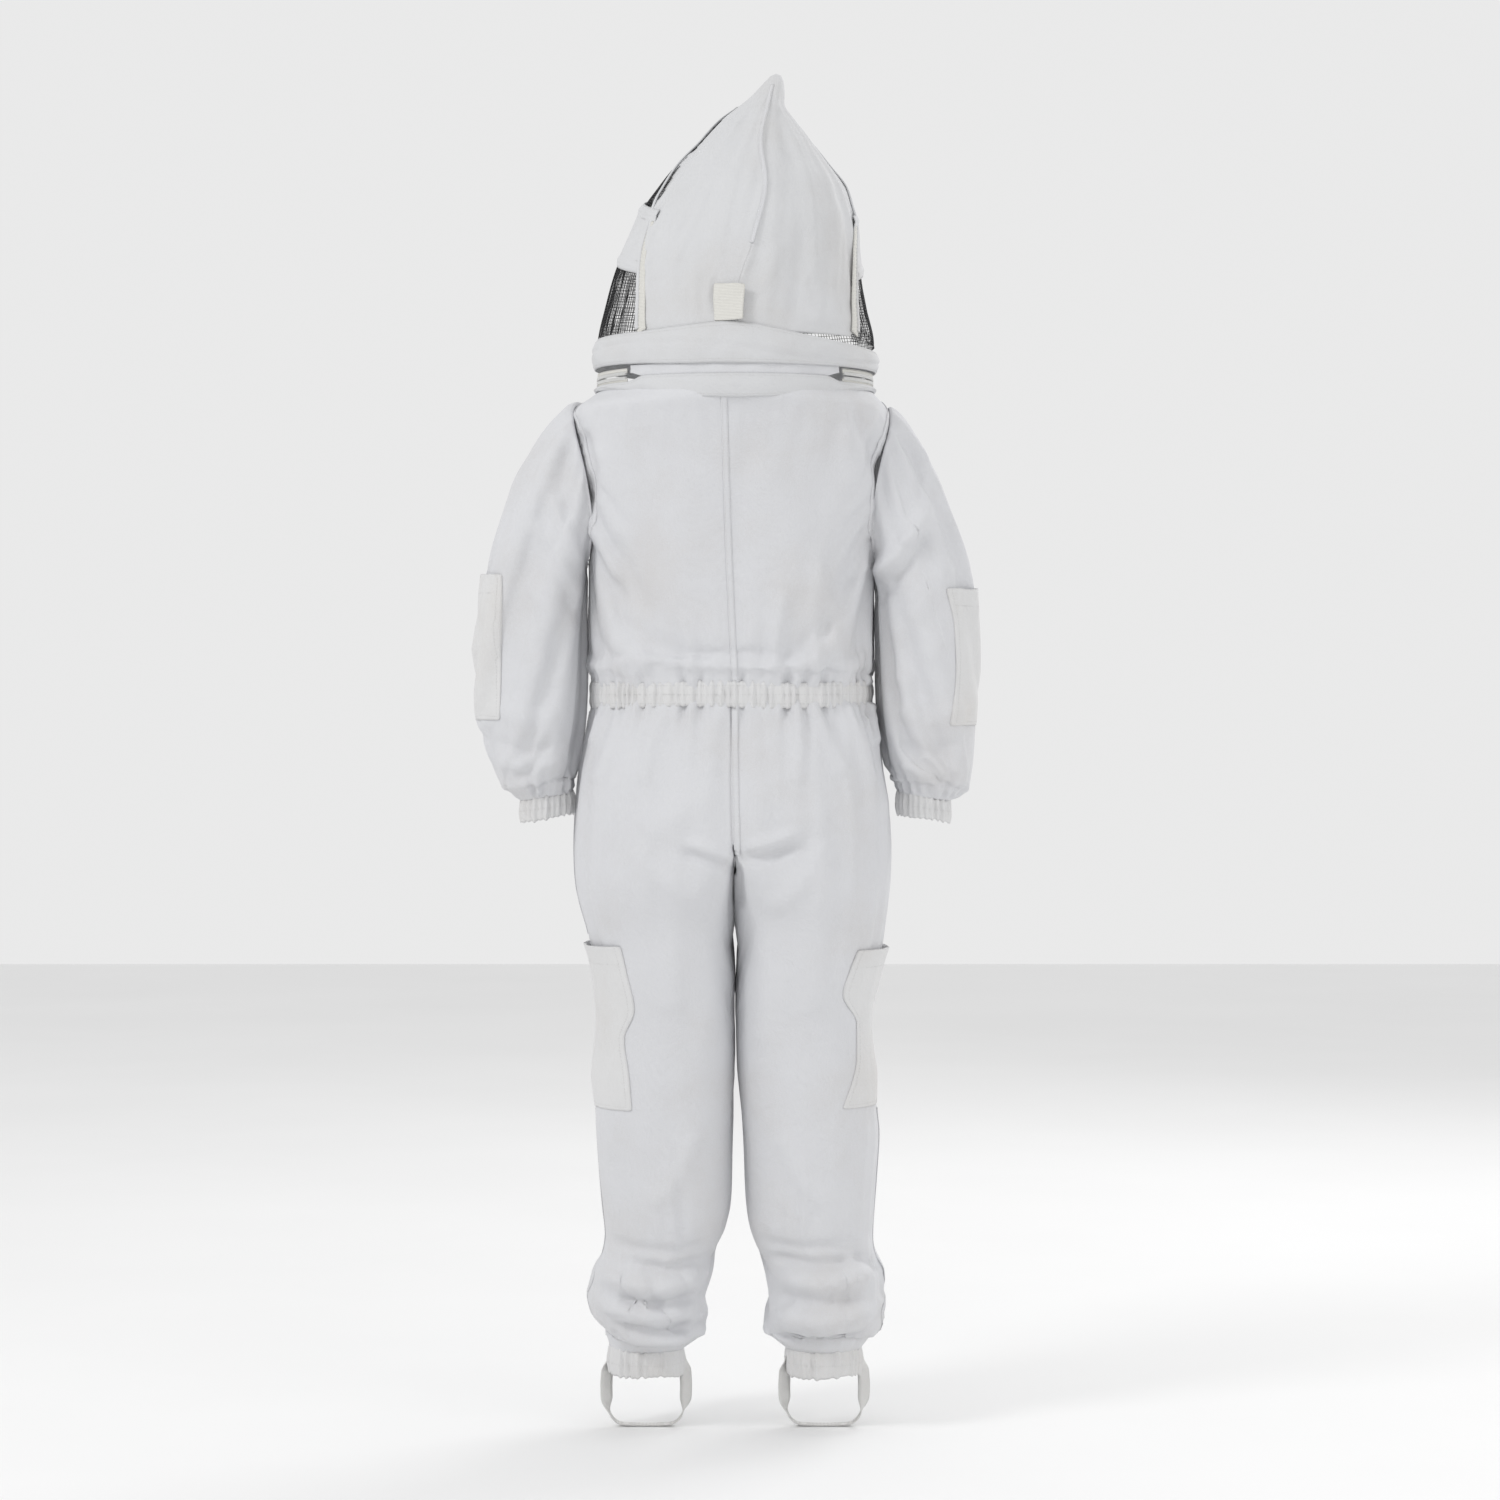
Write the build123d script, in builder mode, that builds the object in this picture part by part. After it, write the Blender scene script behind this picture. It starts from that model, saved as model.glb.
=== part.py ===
from build123d import *
from math import cos, radians, sin
import os

# A child's beekeeping suit: a zipped coverall with a fencing-type hood on a ring zip,
# in the shape it has when worn. Millimetres. +Z is up, the front faces -Y and the
# wearer's left is +X. The origin is on the ground, midway between the feet.

os.makedirs("parts", exist_ok=True)

# Cloth and clearances
cloth = 2.0               # wall of a cloth panel, seams and loft included
mesh_wall = 1.2           # wall of a veil panel
play = 0.5                # gap between cloth pieces that move past each other
reach = 1000.0            # half-size of a cutting block

# Front closure: one straight line that leans forward as it rises
zip_low_z = 640.0
zip_high_z = 1086.0
zip_low_y = -112.0
zip_lean = 0.06
zip_slot = 16.5           # half-width of the slot between the front panels
tape_width = 13.0
tape_wall = 1.0
stop_height = 4.0

# Zip chains and their sliders
chain_gap = 3.0           # room for the slider's post between the two chains
chain_width = 5.0
chain_wall = 4.0
post_width = 2.4
plate_size = 12.0
plate_wall = 1.8
plate_gap = 5.0           # from plate to plate, over the chain
pin_radius = 0.9
pin_rise = 6.6            # from the chain's middle out to the pull's pin
pull_length = 26.0
pull_width = 7.0
pull_wall = 1.6
eye_width = 4.4
slider_z = 1066.0         # where the closed front zip's slider parks

# Collar ring
ring_radius = 147.0       # middle of the cloth
collar_low_z = 1098.0
ring_z = 1125.5           # middle of the ring zip
hood_low_z = 1134.0
gusset_angle = 48.0       # half-angle of the sewn stretch at the back of the ring
zip_end_angle = 50.0      # where each end of the ring zip stops, from the back
slider_angle = 3.6        # the closed sliders' place, from the front

# Waist
waist_z = 790.0
casing_half = 14.0
elastic_width = 23.0
elastic_wall = 1.6
waist_slack = 7.4         # how far the casing stands in from the cloth

# Coverall body: height, half-width and the y of its back
body_levels = [(waist_z, 147, 106), (850, 149, 109), (930, 151, 114), (1000, 158, 119),
               (1050, 167, 125), (1080, 161, 134)]
hip_levels = [(612, 167, 122), (650, 166, 125), (700, 161, 121), (745, 153, 113),
              (waist_z, 147, 106)]

# Trouser leg: centre x, centre y, height, half-width, half-depth
leg = [(80, 2, 640, 74, 84), (84, 2, 600, 81, 98), (77, 4, 500, 71, 86), (76, 2, 400, 71, 79),
       (76, 0, 300, 69, 74), (79, 0, 215, 63, 67), (85, 0, 182, 57, 61), (97, 0, 148, 61, 66),
       (93, 0, 106, 57, 60), (96, 0, 85, 40, 40)]
cuff_centre = 96.0
ankle_radius = 40.0
ankle_z = (56.0, 85.0)

# Sleeve: a shoulder dome round the joint, then a tube down to the wrist
shoulder = (162.0, 0.0, 995.0)
dome_radius = 84.0
dome_mouth_x = 128.0
sleeve = [(190, 0, 968, 48, 58), (207, 0, 930, 53, 62), (212, 0, 880, 53, 60),
          (213, 0, 830, 53, 59), (213, 0, 780, 53, 58), (212, 0, 735, 49, 52),
          (206, 0, 702, 38, 40), (203, 0, 680, 27.5, 27.5)]
wrist_x = 203.0
wrist_radius = 27.5
wrist_z = (657.0, 680.0)
cuff_wall = 2.0

# Pockets stand off the cloth
pocket_depth = 10.0
pocket_wall = 1.5

# Stirrup strap under the foot
strap_width = 14.0
strap_wall = 1.6
strap_half = 41.0         # inner half-width of the loop
strap_pivot_z = 70.0

# Hood: height, centre x, centre y, half-width, half-depth
hood = [(0, 0, hood_low_z, 148, 148), (-2, -12, 1170, 145, 151), (0, -22, 1208, 139, 154),
        (-4, -31, 1259, 128, 151), (-10, -36, 1297, 118, 144), (-16, -37, 1336, 101, 129),
        (-17, -36, 1361, 83, 112), (-21, -32, 1386, 60, 90), (-24, -27, 1412, 38, 65),
        (-36, -22, 1437, 18, 36), (-45, -18, 1458, 4, 8)]
hood_turn = 12.0          # the hood faces this far towards the wearer's left
band_top_z = 1172.0       # top of the cloth band round the hood's base
crown_edge = ((95.0, 1150.0), (-30.0, 1400.0))  # y and z of the crown's front edge
brow_side = (40.0, 1238.0, 1301.0)              # y, lower and upper z of the brow band
brow_rise = 0.2           # how steeply the brow band climbs towards the face
side_tape_width = 13.0
side_tape_wall = 1.2
hoop_size = 4.0


def front_y(height):
    """The y of the front closure's line at a height."""
    return zip_low_y - zip_lean * (height - zip_low_z)


def body_stations(levels):
    """Ovals whose fronts lie on the closure's line."""
    return [(0, (back + front_y(z)) / 2, z, half, (back - front_y(z)) / 2)
            for z, half, back in levels]


def lofted(stations, inset=0.0, turn=0.0):
    """A solid through level ovals of centre x, centre y, height, half-width, half-depth."""
    with BuildPart() as solid:
        for cx, cy, height, half_width, half_depth in stations:
            with BuildSketch(Plane.XY.offset(height)):
                with Locations((cx, cy)):
                    Ellipse(half_width - inset, half_depth - inset, rotation=turn)
        loft()
    return solid.part


def block(low, high):
    """A block between two opposite corners."""
    size = [top - bottom for bottom, top in zip(low, high)]
    with BuildPart() as solid:
        with Locations(tuple((top + bottom) / 2 for bottom, top in zip(low, high))):
            Box(*size)
    return solid.part


def common(first, *others):
    """What several solids share."""
    with BuildPart() as solid:
        add(first)
        for other in others:
            add(other, mode=Mode.INTERSECT)
    return solid.part


def without(first, *others):
    """A solid with others cut out of it."""
    with BuildPart() as solid:
        add(first)
        for other in others:
            add(other, mode=Mode.SUBTRACT)
    return solid.part


def merged(*pieces):
    """Several solids joined into one."""
    with BuildPart() as solid:
        for piece in pieces:
            add(piece)
    return solid.part


def ring_sector(inner, outer, low, high, start, arc):
    """A level ring sector about the collar's axis, from its radii, heights and angles."""
    out = (cos(radians(start)), sin(radians(start)), 0)
    with BuildPart() as sector:
        with BuildSketch(Plane(origin=(0, 0, 0), x_dir=out, z_dir=(out[1], -out[0], 0))):
            with Locations(((inner + outer) / 2, (low + high) / 2)):
                Rectangle(outer - inner, high - low)
        revolve(axis=Axis.Z, revolution_arc=arc)
    return sector.part


def patch_pocket(stations, low, high, open_side):
    """A pocket on a lofted tube, open along its top. open_side tells which faces of the
    block are beyond the cloth, so they get no wall."""
    wall = [0 if beyond else pocket_wall for beyond in open_side]
    room_low = (low[0] + wall[0], low[1] + wall[1], low[2] + pocket_wall)
    room_high = (high[0] - wall[2], high[1] - wall[3], high[2] + pocket_wall)
    outside = common(lofted(stations, -pocket_depth), block(low, high))
    room = common(lofted(stations, pocket_wall - pocket_depth), block(room_low, room_high))
    return without(outside, room, lofted(stations))


def zip_slider(frame):
    """A slider: two plates round the chain, a post between its halves, a bridge and a pin.
    In its frame, x is across the chain, y towards the open end and z outwards."""
    plate_mid = (plate_gap + plate_wall) / 2
    plate_out = plate_gap / 2 + plate_wall
    ear_wall = 1.5
    ear_place = (eye_width + ear_wall) / 2 + 0.1
    with BuildPart(frame) as slider:
        with Locations((0, 0, plate_mid), (0, 0, -plate_mid)):
            Box(plate_size, plate_size, plate_wall)
        with Locations((0, plate_size / 2 - 2, 0)):
            Box(post_width, 4, plate_gap)
        with Locations((ear_place, 0, (plate_out + pin_rise) / 2),
                       (-ear_place, 0, (plate_out + pin_rise) / 2)):
            Box(ear_wall, 3.6, pin_rise - plate_out + 3.6)
        with Locations((0, 0, pin_rise)):
            Cylinder(pin_radius, 2 * ear_place, rotation=(0, 90, 0))
    return slider.part


def zip_pull(frame):
    """A pull: an eye round the slider's pin, and a tongue along the frame's -y."""
    with BuildPart(frame) as pull:
        Cylinder(1.9, eye_width, rotation=(0, 90, 0))
        with Locations((0, -3.5, 0)):
            Box(eye_width, 5, pull_wall)
        with Locations((0, -pull_length / 2 - 3, 0)):
            Box(pull_width, pull_length - 6, pull_wall)
        with Locations((0, -pull_length + 5, 0)):
            Cylinder(1.6, pull_wall, mode=Mode.SUBTRACT)
        Cylinder(pin_radius + 0.06, eye_width, rotation=(0, 90, 0), mode=Mode.SUBTRACT)
    return pull.part


def write(part, name):
    """Label a finished piece and save it."""
    with BuildPart() as piece:
        add(part)
    piece.part.label = name
    export_step(piece.part, f"parts/{name}.step")


def write_pair(left_part, name):
    """Save a left-hand piece and its mirror image."""
    write(left_part, name + "_left")
    with BuildPart() as right:
        mirror(left_part, about=Plane.YZ)
    write(right.part, name + "_right")


# Upper body: a shell with an armhole on each side and a slot down the front
neck = (0, 0, collar_low_z, ring_radius + cloth / 2, ring_radius + cloth / 2)
body = body_stations(body_levels) + [neck]
with BuildPart() as armhole:
    with Locations(shoulder):
        Sphere(dome_radius + play)
left_rear = block((0, 0, 0), (reach, reach, 2 * reach))
left_front = block((0, -reach, 0), (reach, 0, 2 * reach))
front_slot = block((-zip_slot, -reach, zip_low_z - stop_height - play), (zip_slot, 0, 2 * reach))
body_shell = without(lofted(body), lofted(body, cloth), armhole.part, front_slot)
write_pair(common(body_shell, left_rear), "back_panel")
write_pair(common(body_shell, left_front), "front_panel")

# Trousers: hips and a leg in one shell with a closed crotch, cut at the middle
hips = body_stations(hip_levels)
inner_hips = body_stations([(hip_levels[0][0] + cloth, *hip_levels[0][1:])] + hip_levels[1:])
trouser_shell = without(merged(lofted(hips), lofted(leg)), lofted(inner_hips, cloth),
                        lofted(leg, cloth), front_slot)
write_pair(common(trouser_shell, left_rear), "trouser_back")
write_pair(common(trouser_shell, left_front), "trouser_front")

# Waist: an elastic in a casing sewn inside the cloth, open at the closure
_, waist_y, _, waist_half, waist_depth = body[0]


def waist_ring(outer_inset, inner_inset, half_height):
    """An oval ring inside the waist, between two insets from the cloth's outside."""
    ends = [(0, waist_y, waist_z - half_height, waist_half, waist_depth),
            (0, waist_y, waist_z + half_height, waist_half, waist_depth)]
    opening = block((-zip_slot - 4, -reach, 0), (zip_slot + 4, 0, 2 * reach))
    return without(lofted(ends, outer_inset), lofted(ends, inner_inset), opening)


elastic_inset = cloth + waist_slack
elastic_ring = waist_ring(elastic_inset, elastic_inset + elastic_wall, elastic_width / 2)
casing_ring = waist_ring(elastic_inset, elastic_inset + elastic_wall + tape_wall, casing_half)
casing_room = waist_ring(elastic_inset, elastic_inset + elastic_wall, elastic_width / 2)
write(elastic_ring, "waist_elastic")
write(without(casing_ring, casing_room), "waist_casing")


def cuff_pieces(centre, radius, z_range, name):
    """A cuff casing with a groove inside it, and the elastic that fills the groove."""
    low, high = z_range
    groove = (low + 3, high - 3)
    with BuildPart() as casing:
        with BuildSketch(Plane.XY.offset(low)):
            with Locations((centre, 0)):
                Circle(radius)
                Circle(radius - 2 * cuff_wall, mode=Mode.SUBTRACT)
        extrude(amount=high - low)
        with BuildSketch(Plane.XY.offset(groove[0])):
            with Locations((centre, 0)):
                Circle(radius - cuff_wall)
        extrude(amount=groove[1] - groove[0], mode=Mode.SUBTRACT)
    with BuildPart() as elastic:
        with BuildSketch(Plane.XY.offset(groove[0])):
            with Locations((centre, 0)):
                Circle(radius - cuff_wall)
                Circle(radius - 2 * cuff_wall, mode=Mode.SUBTRACT)
        extrude(amount=groove[1] - groove[0])
    write_pair(casing.part, name + "_cuff")
    write_pair(elastic.part, name + "_elastic")


cuff_pieces(cuff_centre, ankle_radius, ankle_z, "ankle")
cuff_pieces(wrist_x, wrist_radius, wrist_z, "wrist")

# Sleeves: dome and tube in one shell, open towards the body
with BuildPart() as dome:
    with Locations(shoulder):
        Sphere(dome_radius)
with BuildPart() as dome_room:
    with Locations(shoulder):
        Sphere(dome_radius - cloth)
dome_mouth = block((0, -reach, 0), (dome_mouth_x, reach, 2 * reach))
sleeve_shell = without(merged(dome.part, lofted(sleeve)), dome_room.part,
                       lofted(sleeve, cloth), dome_mouth)
write_pair(sleeve_shell, "sleeve")

# Pockets: on the outside of each thigh and each arm, and on the chest
thigh_pocket = patch_pocket(leg, (112, -reach, 348), (reach, reach, 524), (False, True, True, True))
arm_pocket = patch_pocket(sleeve, (240, -reach, 763), (reach, reach, 905),
                          (False, True, True, True))
chest_pocket = patch_pocket(body, (36, -reach, 905), (118, -20, 1015), (False, True, False, True))
write_pair(thigh_pocket, "thigh_pocket")
write_pair(arm_pocket, "arm_pocket")
write_pair(chest_pocket, "chest_pocket")

# Stirrup straps: a loop under each foot, hung from the sides of the ankle cuff
with BuildPart() as strap:
    outer_half = strap_half + strap_wall
    with BuildSketch(Plane.XZ.offset(-strap_width / 2)):
        with Locations((cuff_centre, (strap_pivot_z + 6) / 2)):
            RectangleRounded(2 * outer_half, strap_pivot_z + 6, 16)
            Rectangle(2 * outer_half, strap_pivot_z - 26)
        with Locations((cuff_centre, (strap_pivot_z + 6) / 2 + strap_wall)):
            RectangleRounded(2 * strap_half, strap_pivot_z + 6, 16 - strap_wall, mode=Mode.SUBTRACT)
        with Locations((cuff_centre, strap_pivot_z + 6)):
            Rectangle(2 * strap_half, 40, mode=Mode.SUBTRACT)
    extrude(amount=strap_width)
write_pair(strap.part, "stirrup_strap")

# Front zip: two tapes, two chains, stops, slider and pull
zip_frame = Plane(origin=(0, zip_low_y, zip_low_z), x_dir=(1, 0, 0), z_dir=(0, -1, -zip_lean))
zip_length = (zip_high_z - zip_low_z) * (1 + zip_lean ** 2) ** 0.5
chain_middle = (chain_gap + chain_width) / 2
tape_start = chain_gap / 2 + chain_width
with BuildPart(zip_frame) as zip_chain:
    with Locations((chain_middle, zip_length / 2, 0)):
        Box(chain_width, zip_length, chain_wall)
with BuildPart(zip_frame) as zip_tape:
    with Locations(((tape_start + zip_slot - 0.3) / 2, zip_length / 2, 0)):
        Box(zip_slot - 0.3 - tape_start, zip_length, tape_wall)
with BuildPart(zip_frame) as zip_stops:
    with Locations((0, -stop_height / 2, 0)):
        Box(2 * tape_start, stop_height, chain_wall)
    top_place = zip_length + stop_height / 2
    with Locations((chain_middle, top_place, 0), (-chain_middle, top_place, 0)):
        Box(chain_width, stop_height, chain_wall)
write_pair(zip_chain.part, "main_zip_chain")
write_pair(zip_tape.part, "main_zip_tape")
write(zip_stops.part, "main_zip_stops")
slider_origin = (0, front_y(slider_z), slider_z)
slider_frame = Plane(origin=slider_origin, x_dir=(1, 0, 0), z_dir=(0, -1, -zip_lean))
pin_origin = slider_frame.from_local_coords((0, 0, pin_rise))
write(zip_slider(slider_frame), "main_zip_slider")
write(zip_pull(Plane(origin=pin_origin, x_dir=(1, 0, 0), z_dir=(0, -1, 0))), "main_zip_pull")

# Collar ring: a band and the lower chain on the coverall, the upper chain on the hood
band_inner = ring_radius - cloth / 2
band_outer = ring_radius + cloth / 2
chain_inner = ring_radius - chain_wall / 2
chain_outer = ring_radius + chain_wall / 2
lower_chain = (ring_z - chain_gap / 2 - chain_width, ring_z - chain_gap / 2)
upper_chain = (ring_z + chain_gap / 2, ring_z + chain_gap / 2 + chain_width)
zip_arc = 360 - 2 * zip_end_angle
gusset_start = 90 - gusset_angle
collar = ring_sector(band_inner, band_outer, collar_low_z, lower_chain[0], 0, 360)
collar_back = ring_sector(band_inner, band_outer, collar_low_z, ring_z - play / 2,
                          gusset_start, 2 * gusset_angle)
gusset = ring_sector(band_inner, band_outer, ring_z + play / 2, hood_low_z,
                     gusset_start, 2 * gusset_angle)
write(merged(collar, collar_back), "collar_band")
write(ring_sector(chain_inner, chain_outer, *lower_chain, 90 + zip_end_angle, zip_arc),
      "collar_zip_chain")
write(ring_sector(chain_inner, chain_outer, *upper_chain, 90 + zip_end_angle, zip_arc),
      "hood_zip_chain")
write(gusset, "hood_gusset")

# Ring sliders: one each side of the front, run back to the ends of the zip
for turn_side, hand in ((1, "left"), (-1, "right")):
    angle = radians(-90 + turn_side * slider_angle)
    out = Vector(cos(angle), sin(angle), 0)
    ring_frame = Plane(origin=out * ring_radius + Vector(0, 0, ring_z),
                       x_dir=(0, 0, turn_side), z_dir=out)
    pin_frame = Plane(origin=out * (ring_radius + pin_rise) + Vector(0, 0, ring_z),
                      x_dir=(0, 0, turn_side), z_dir=out)
    write(zip_slider(ring_frame), "hood_zip_slider_" + hand)
    write(zip_pull(pin_frame), "hood_zip_pull_" + hand)

# Hood: one lofted skin, cut into a crown, veil panels, a brow band and a base band
hood_solid = lofted(hood, 0, hood_turn)
peak_x, peak_y, peak_z, peak_width, peak_depth = hood[-1]
hood_room = hood[:-1] + [(peak_x, peak_y, peak_z - cloth, peak_width, peak_depth)]
hood_shell = without(hood_solid, lofted(hood_room, cloth, hood_turn))
veil_shell = without(lofted(hood, (cloth - mesh_wall) / 2, hood_turn),
                     lofted(hood, (cloth + mesh_wall) / 2, hood_turn))
turn_cos = cos(radians(hood_turn))
turn_sin = sin(radians(hood_turn))
(edge_low_y, edge_low_z), (edge_high_y, edge_high_z) = crown_edge
edge_slope = (edge_low_y - edge_high_y) / (edge_high_z - edge_low_z)
hood_x = (turn_cos, turn_sin, 0)


def hood_point(y, z):
    """A point in the hood's middle plane."""
    return (-y * turn_sin, y * turn_cos, z)


def hood_plane(y, z, slope_y, slope_z):
    """A plane across the hood through a point of its middle plane, by its normal there."""
    return Plane(origin=hood_point(y, z), x_dir=hood_x,
                 z_dir=(-slope_y * turn_sin, slope_y * turn_cos, slope_z))


def beyond(solid, *planes):
    """What is left of a solid on the far side of each plane."""
    with BuildPart() as piece:
        add(solid)
        for plane in planes:
            split(bisect_by=plane, keep=Keep.TOP)
    return piece.part


behind_edge = hood_plane(edge_low_y, edge_low_z, 1, edge_slope)
before_edge = hood_plane(edge_low_y, edge_low_z, -1, -edge_slope)
before_tape = hood_plane(edge_low_y + side_tape_width, edge_low_z, -1, -edge_slope)
above_band = Plane.XY.offset(band_top_z)
below_band_top = Plane(origin=(0, 0, band_top_z), z_dir=(0, 0, -1))
above_brow_low = hood_plane(brow_side[0], brow_side[1], brow_rise, 1)
below_brow_low = hood_plane(brow_side[0], brow_side[1], -brow_rise, -1)
above_brow_high = hood_plane(brow_side[0], brow_side[2], brow_rise, 1)
below_brow_high = hood_plane(brow_side[0], brow_side[2], -brow_rise, -1)
towards_left = Plane(origin=(0, 0, 0), x_dir=(0, 0, 1), z_dir=hood_x)
towards_right = Plane(origin=(0, 0, 0), x_dir=(0, 0, 1), z_dir=(-turn_cos, -turn_sin, 0))

write(beyond(hood_shell, below_band_top), "hood_base_band")
crown = beyond(hood_shell, behind_edge, above_band)
write(beyond(crown, towards_left), "hood_crown_left")
write(beyond(crown, towards_right), "hood_crown_right")
write(beyond(hood_shell, before_edge, above_brow_low, below_brow_high), "brow_band")
write(beyond(veil_shell, before_edge, above_band, below_brow_low), "face_veil")
write(beyond(veil_shell, before_edge, above_brow_high), "upper_veil")

# Side tapes: sewn over the crown's front edges, from the base band to above the brow
tape_skin = without(lofted(hood, -side_tape_wall, hood_turn), hood_solid)
tape_top = Plane(origin=(0, 0, brow_side[2] - 10), z_dir=(0, 0, -1))
side_tapes = beyond(tape_skin, behind_edge, before_tape, above_band, tape_top)
write(beyond(side_tapes, towards_left), "hood_side_tape_left")
write(beyond(side_tapes, towards_right), "hood_side_tape_right")

# Hoops: springy strips inside the brow band, at its two edges
below_peak = hood[:-2]
hoop_skin = without(lofted(below_peak, cloth + play, hood_turn),
                    lofted(below_peak, cloth + play + hoop_size, hood_turn))
low_hoop_top = hood_plane(brow_side[0], brow_side[1] + 3 + hoop_size, -brow_rise, -1)
low_hoop_foot = hood_plane(brow_side[0], brow_side[1] + 3, brow_rise, 1)
high_hoop_top = hood_plane(brow_side[0], brow_side[2] - 3, -brow_rise, -1)
high_hoop_foot = hood_plane(brow_side[0], brow_side[2] - 3 - hoop_size, brow_rise, 1)
write(beyond(hoop_skin, before_edge, low_hoop_foot, low_hoop_top), "brow_hoop_lower")
write(beyond(hoop_skin, before_edge, high_hoop_foot, high_hoop_top), "brow_hoop_upper")

# Tab: a folded strip sewn to the back of the crown just above the base band
tab_skin = without(lofted(hood, -3.5, hood_turn), lofted(hood, -0.2, hood_turn))
write(common(tab_skin, block((-8, 0, 1179), (21, reach, 1218))), "hood_tab")
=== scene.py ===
"""A child's beekeeping suit: cloth, veil, seams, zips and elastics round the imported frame."""
import math
from contextlib import contextmanager
from functools import cache

import bmesh
import bpy
import numpy as np
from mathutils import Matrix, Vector
from mathutils.bvhtree import BVHTree


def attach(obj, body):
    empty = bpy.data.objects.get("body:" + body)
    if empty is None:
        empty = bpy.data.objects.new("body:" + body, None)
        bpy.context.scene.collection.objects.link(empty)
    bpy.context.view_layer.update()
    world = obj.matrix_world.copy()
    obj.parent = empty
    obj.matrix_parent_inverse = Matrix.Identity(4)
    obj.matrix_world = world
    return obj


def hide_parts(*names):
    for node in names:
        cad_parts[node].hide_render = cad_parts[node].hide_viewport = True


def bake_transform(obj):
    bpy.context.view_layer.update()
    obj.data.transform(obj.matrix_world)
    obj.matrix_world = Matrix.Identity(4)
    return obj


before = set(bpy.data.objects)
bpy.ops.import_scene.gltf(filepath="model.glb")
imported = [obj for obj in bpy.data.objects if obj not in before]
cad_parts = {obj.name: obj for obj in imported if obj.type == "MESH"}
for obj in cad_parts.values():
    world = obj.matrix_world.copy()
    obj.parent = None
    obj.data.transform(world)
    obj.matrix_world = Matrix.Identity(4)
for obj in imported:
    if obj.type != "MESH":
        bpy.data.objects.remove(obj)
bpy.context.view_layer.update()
MM = 0.001
SIDES = ((1, "left"), (-1, "right"))    # the sign of x on each of the wearer's sides
ONTO_BACK, ONTO_FRONT = (0, -1, 0), (0, 1, 0)

# ---------------------------------------------------------------- shape tables, in millimetres

# Coverall: height, left edge, right edge, front, back and how square the section is
BODY = [
    (1113, 149, -149, -149, 149, 2.0), (1106, 158, -155, -150, 149, 2.05),
    (1096, 172, -164, -147, 145, 2.3), (1060, 177, -170, -140, 130, 2.4),
    (1010, 173, -167, -134, 121, 2.45), (960, 163, -157, -131, 116, 2.4),
    (925, 158, -150, -129, 114, 2.35), (880, 157, -148, -126, 112, 2.3),
    (830, 157, -147, -123, 110, 2.3), (806, 154, -144, -121, 107, 2.3),
    (790, 152, -144, -120, 105, 2.3), (772, 154, -147, -119, 107, 2.3),
    (742, 161, -154, -118, 113, 2.35), (700, 168, -160, -115, 120, 2.4),
    (657, 171, -165, -113, 125, 2.5), (634, 172, -167, -112, 125, 2.5)]
# Each leg: height, inner edge, outer edge (from the middle), front, back and squareness
LEG_LEFT = [
    (634, 0, 172, -112, 125, 2.5), (600, 1, 170, -105, 118, 2.6), (572, 1, 166, -100, 108, 2.5),
    (530, 1, 156, -94, 99, 2.4), (488, 1, 149, -90, 94, 2.3), (445, 0, 146, -82, 86, 2.3),
    (403, 0, 149, -79, 81, 2.2), (382, 1, 151, -78, 80, 2.2), (345, 2, 150, -76, 77, 2.2),
    (318, 3, 149, -74, 75, 2.2), (276, 4, 146, -71, 72, 2.1), (233, 8, 142, -67, 69, 2.1),
    (212, 13, 139, -65, 66, 2.1), (191, 26, 139, -62, 62, 2.1), (170, 25, 153, -66, 67, 2.0),
    (148, 34, 160, -68, 68, 2.0), (127, 32, 151, -65, 65, 2.0), (106, 32, 139, -58, 59, 2.0),
    (94, 42, 137, -48, 48, 2.0), (84, 57, 135, -39, 39, 2.0)]
LEG_RIGHT = [
    (634, 0, 167, -112, 125, 2.5), (600, 1, 165, -105, 118, 2.6), (572, 1, 163, -100, 108, 2.5),
    (530, 1, 159, -94, 99, 2.4), (488, 1, 151, -90, 94, 2.3), (445, 1, 143, -82, 86, 2.3),
    (403, 2, 147, -79, 81, 2.2), (382, 4, 150, -78, 80, 2.2), (345, 7, 152, -76, 77, 2.2),
    (318, 9, 155, -74, 75, 2.2), (276, 11, 152, -71, 72, 2.1), (233, 14, 149, -67, 69, 2.1),
    (212, 18, 148, -65, 66, 2.1), (191, 26, 145, -62, 62, 2.1), (170, 38, 161, -66, 67, 2.0),
    (148, 37, 162, -68, 68, 2.0), (127, 34, 158, -66, 66, 2.0), (106, 31, 154, -60, 61, 2.0),
    (94, 42, 144, -48, 48, 2.0), (84, 57, 135, -39, 39, 2.0)]
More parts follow.
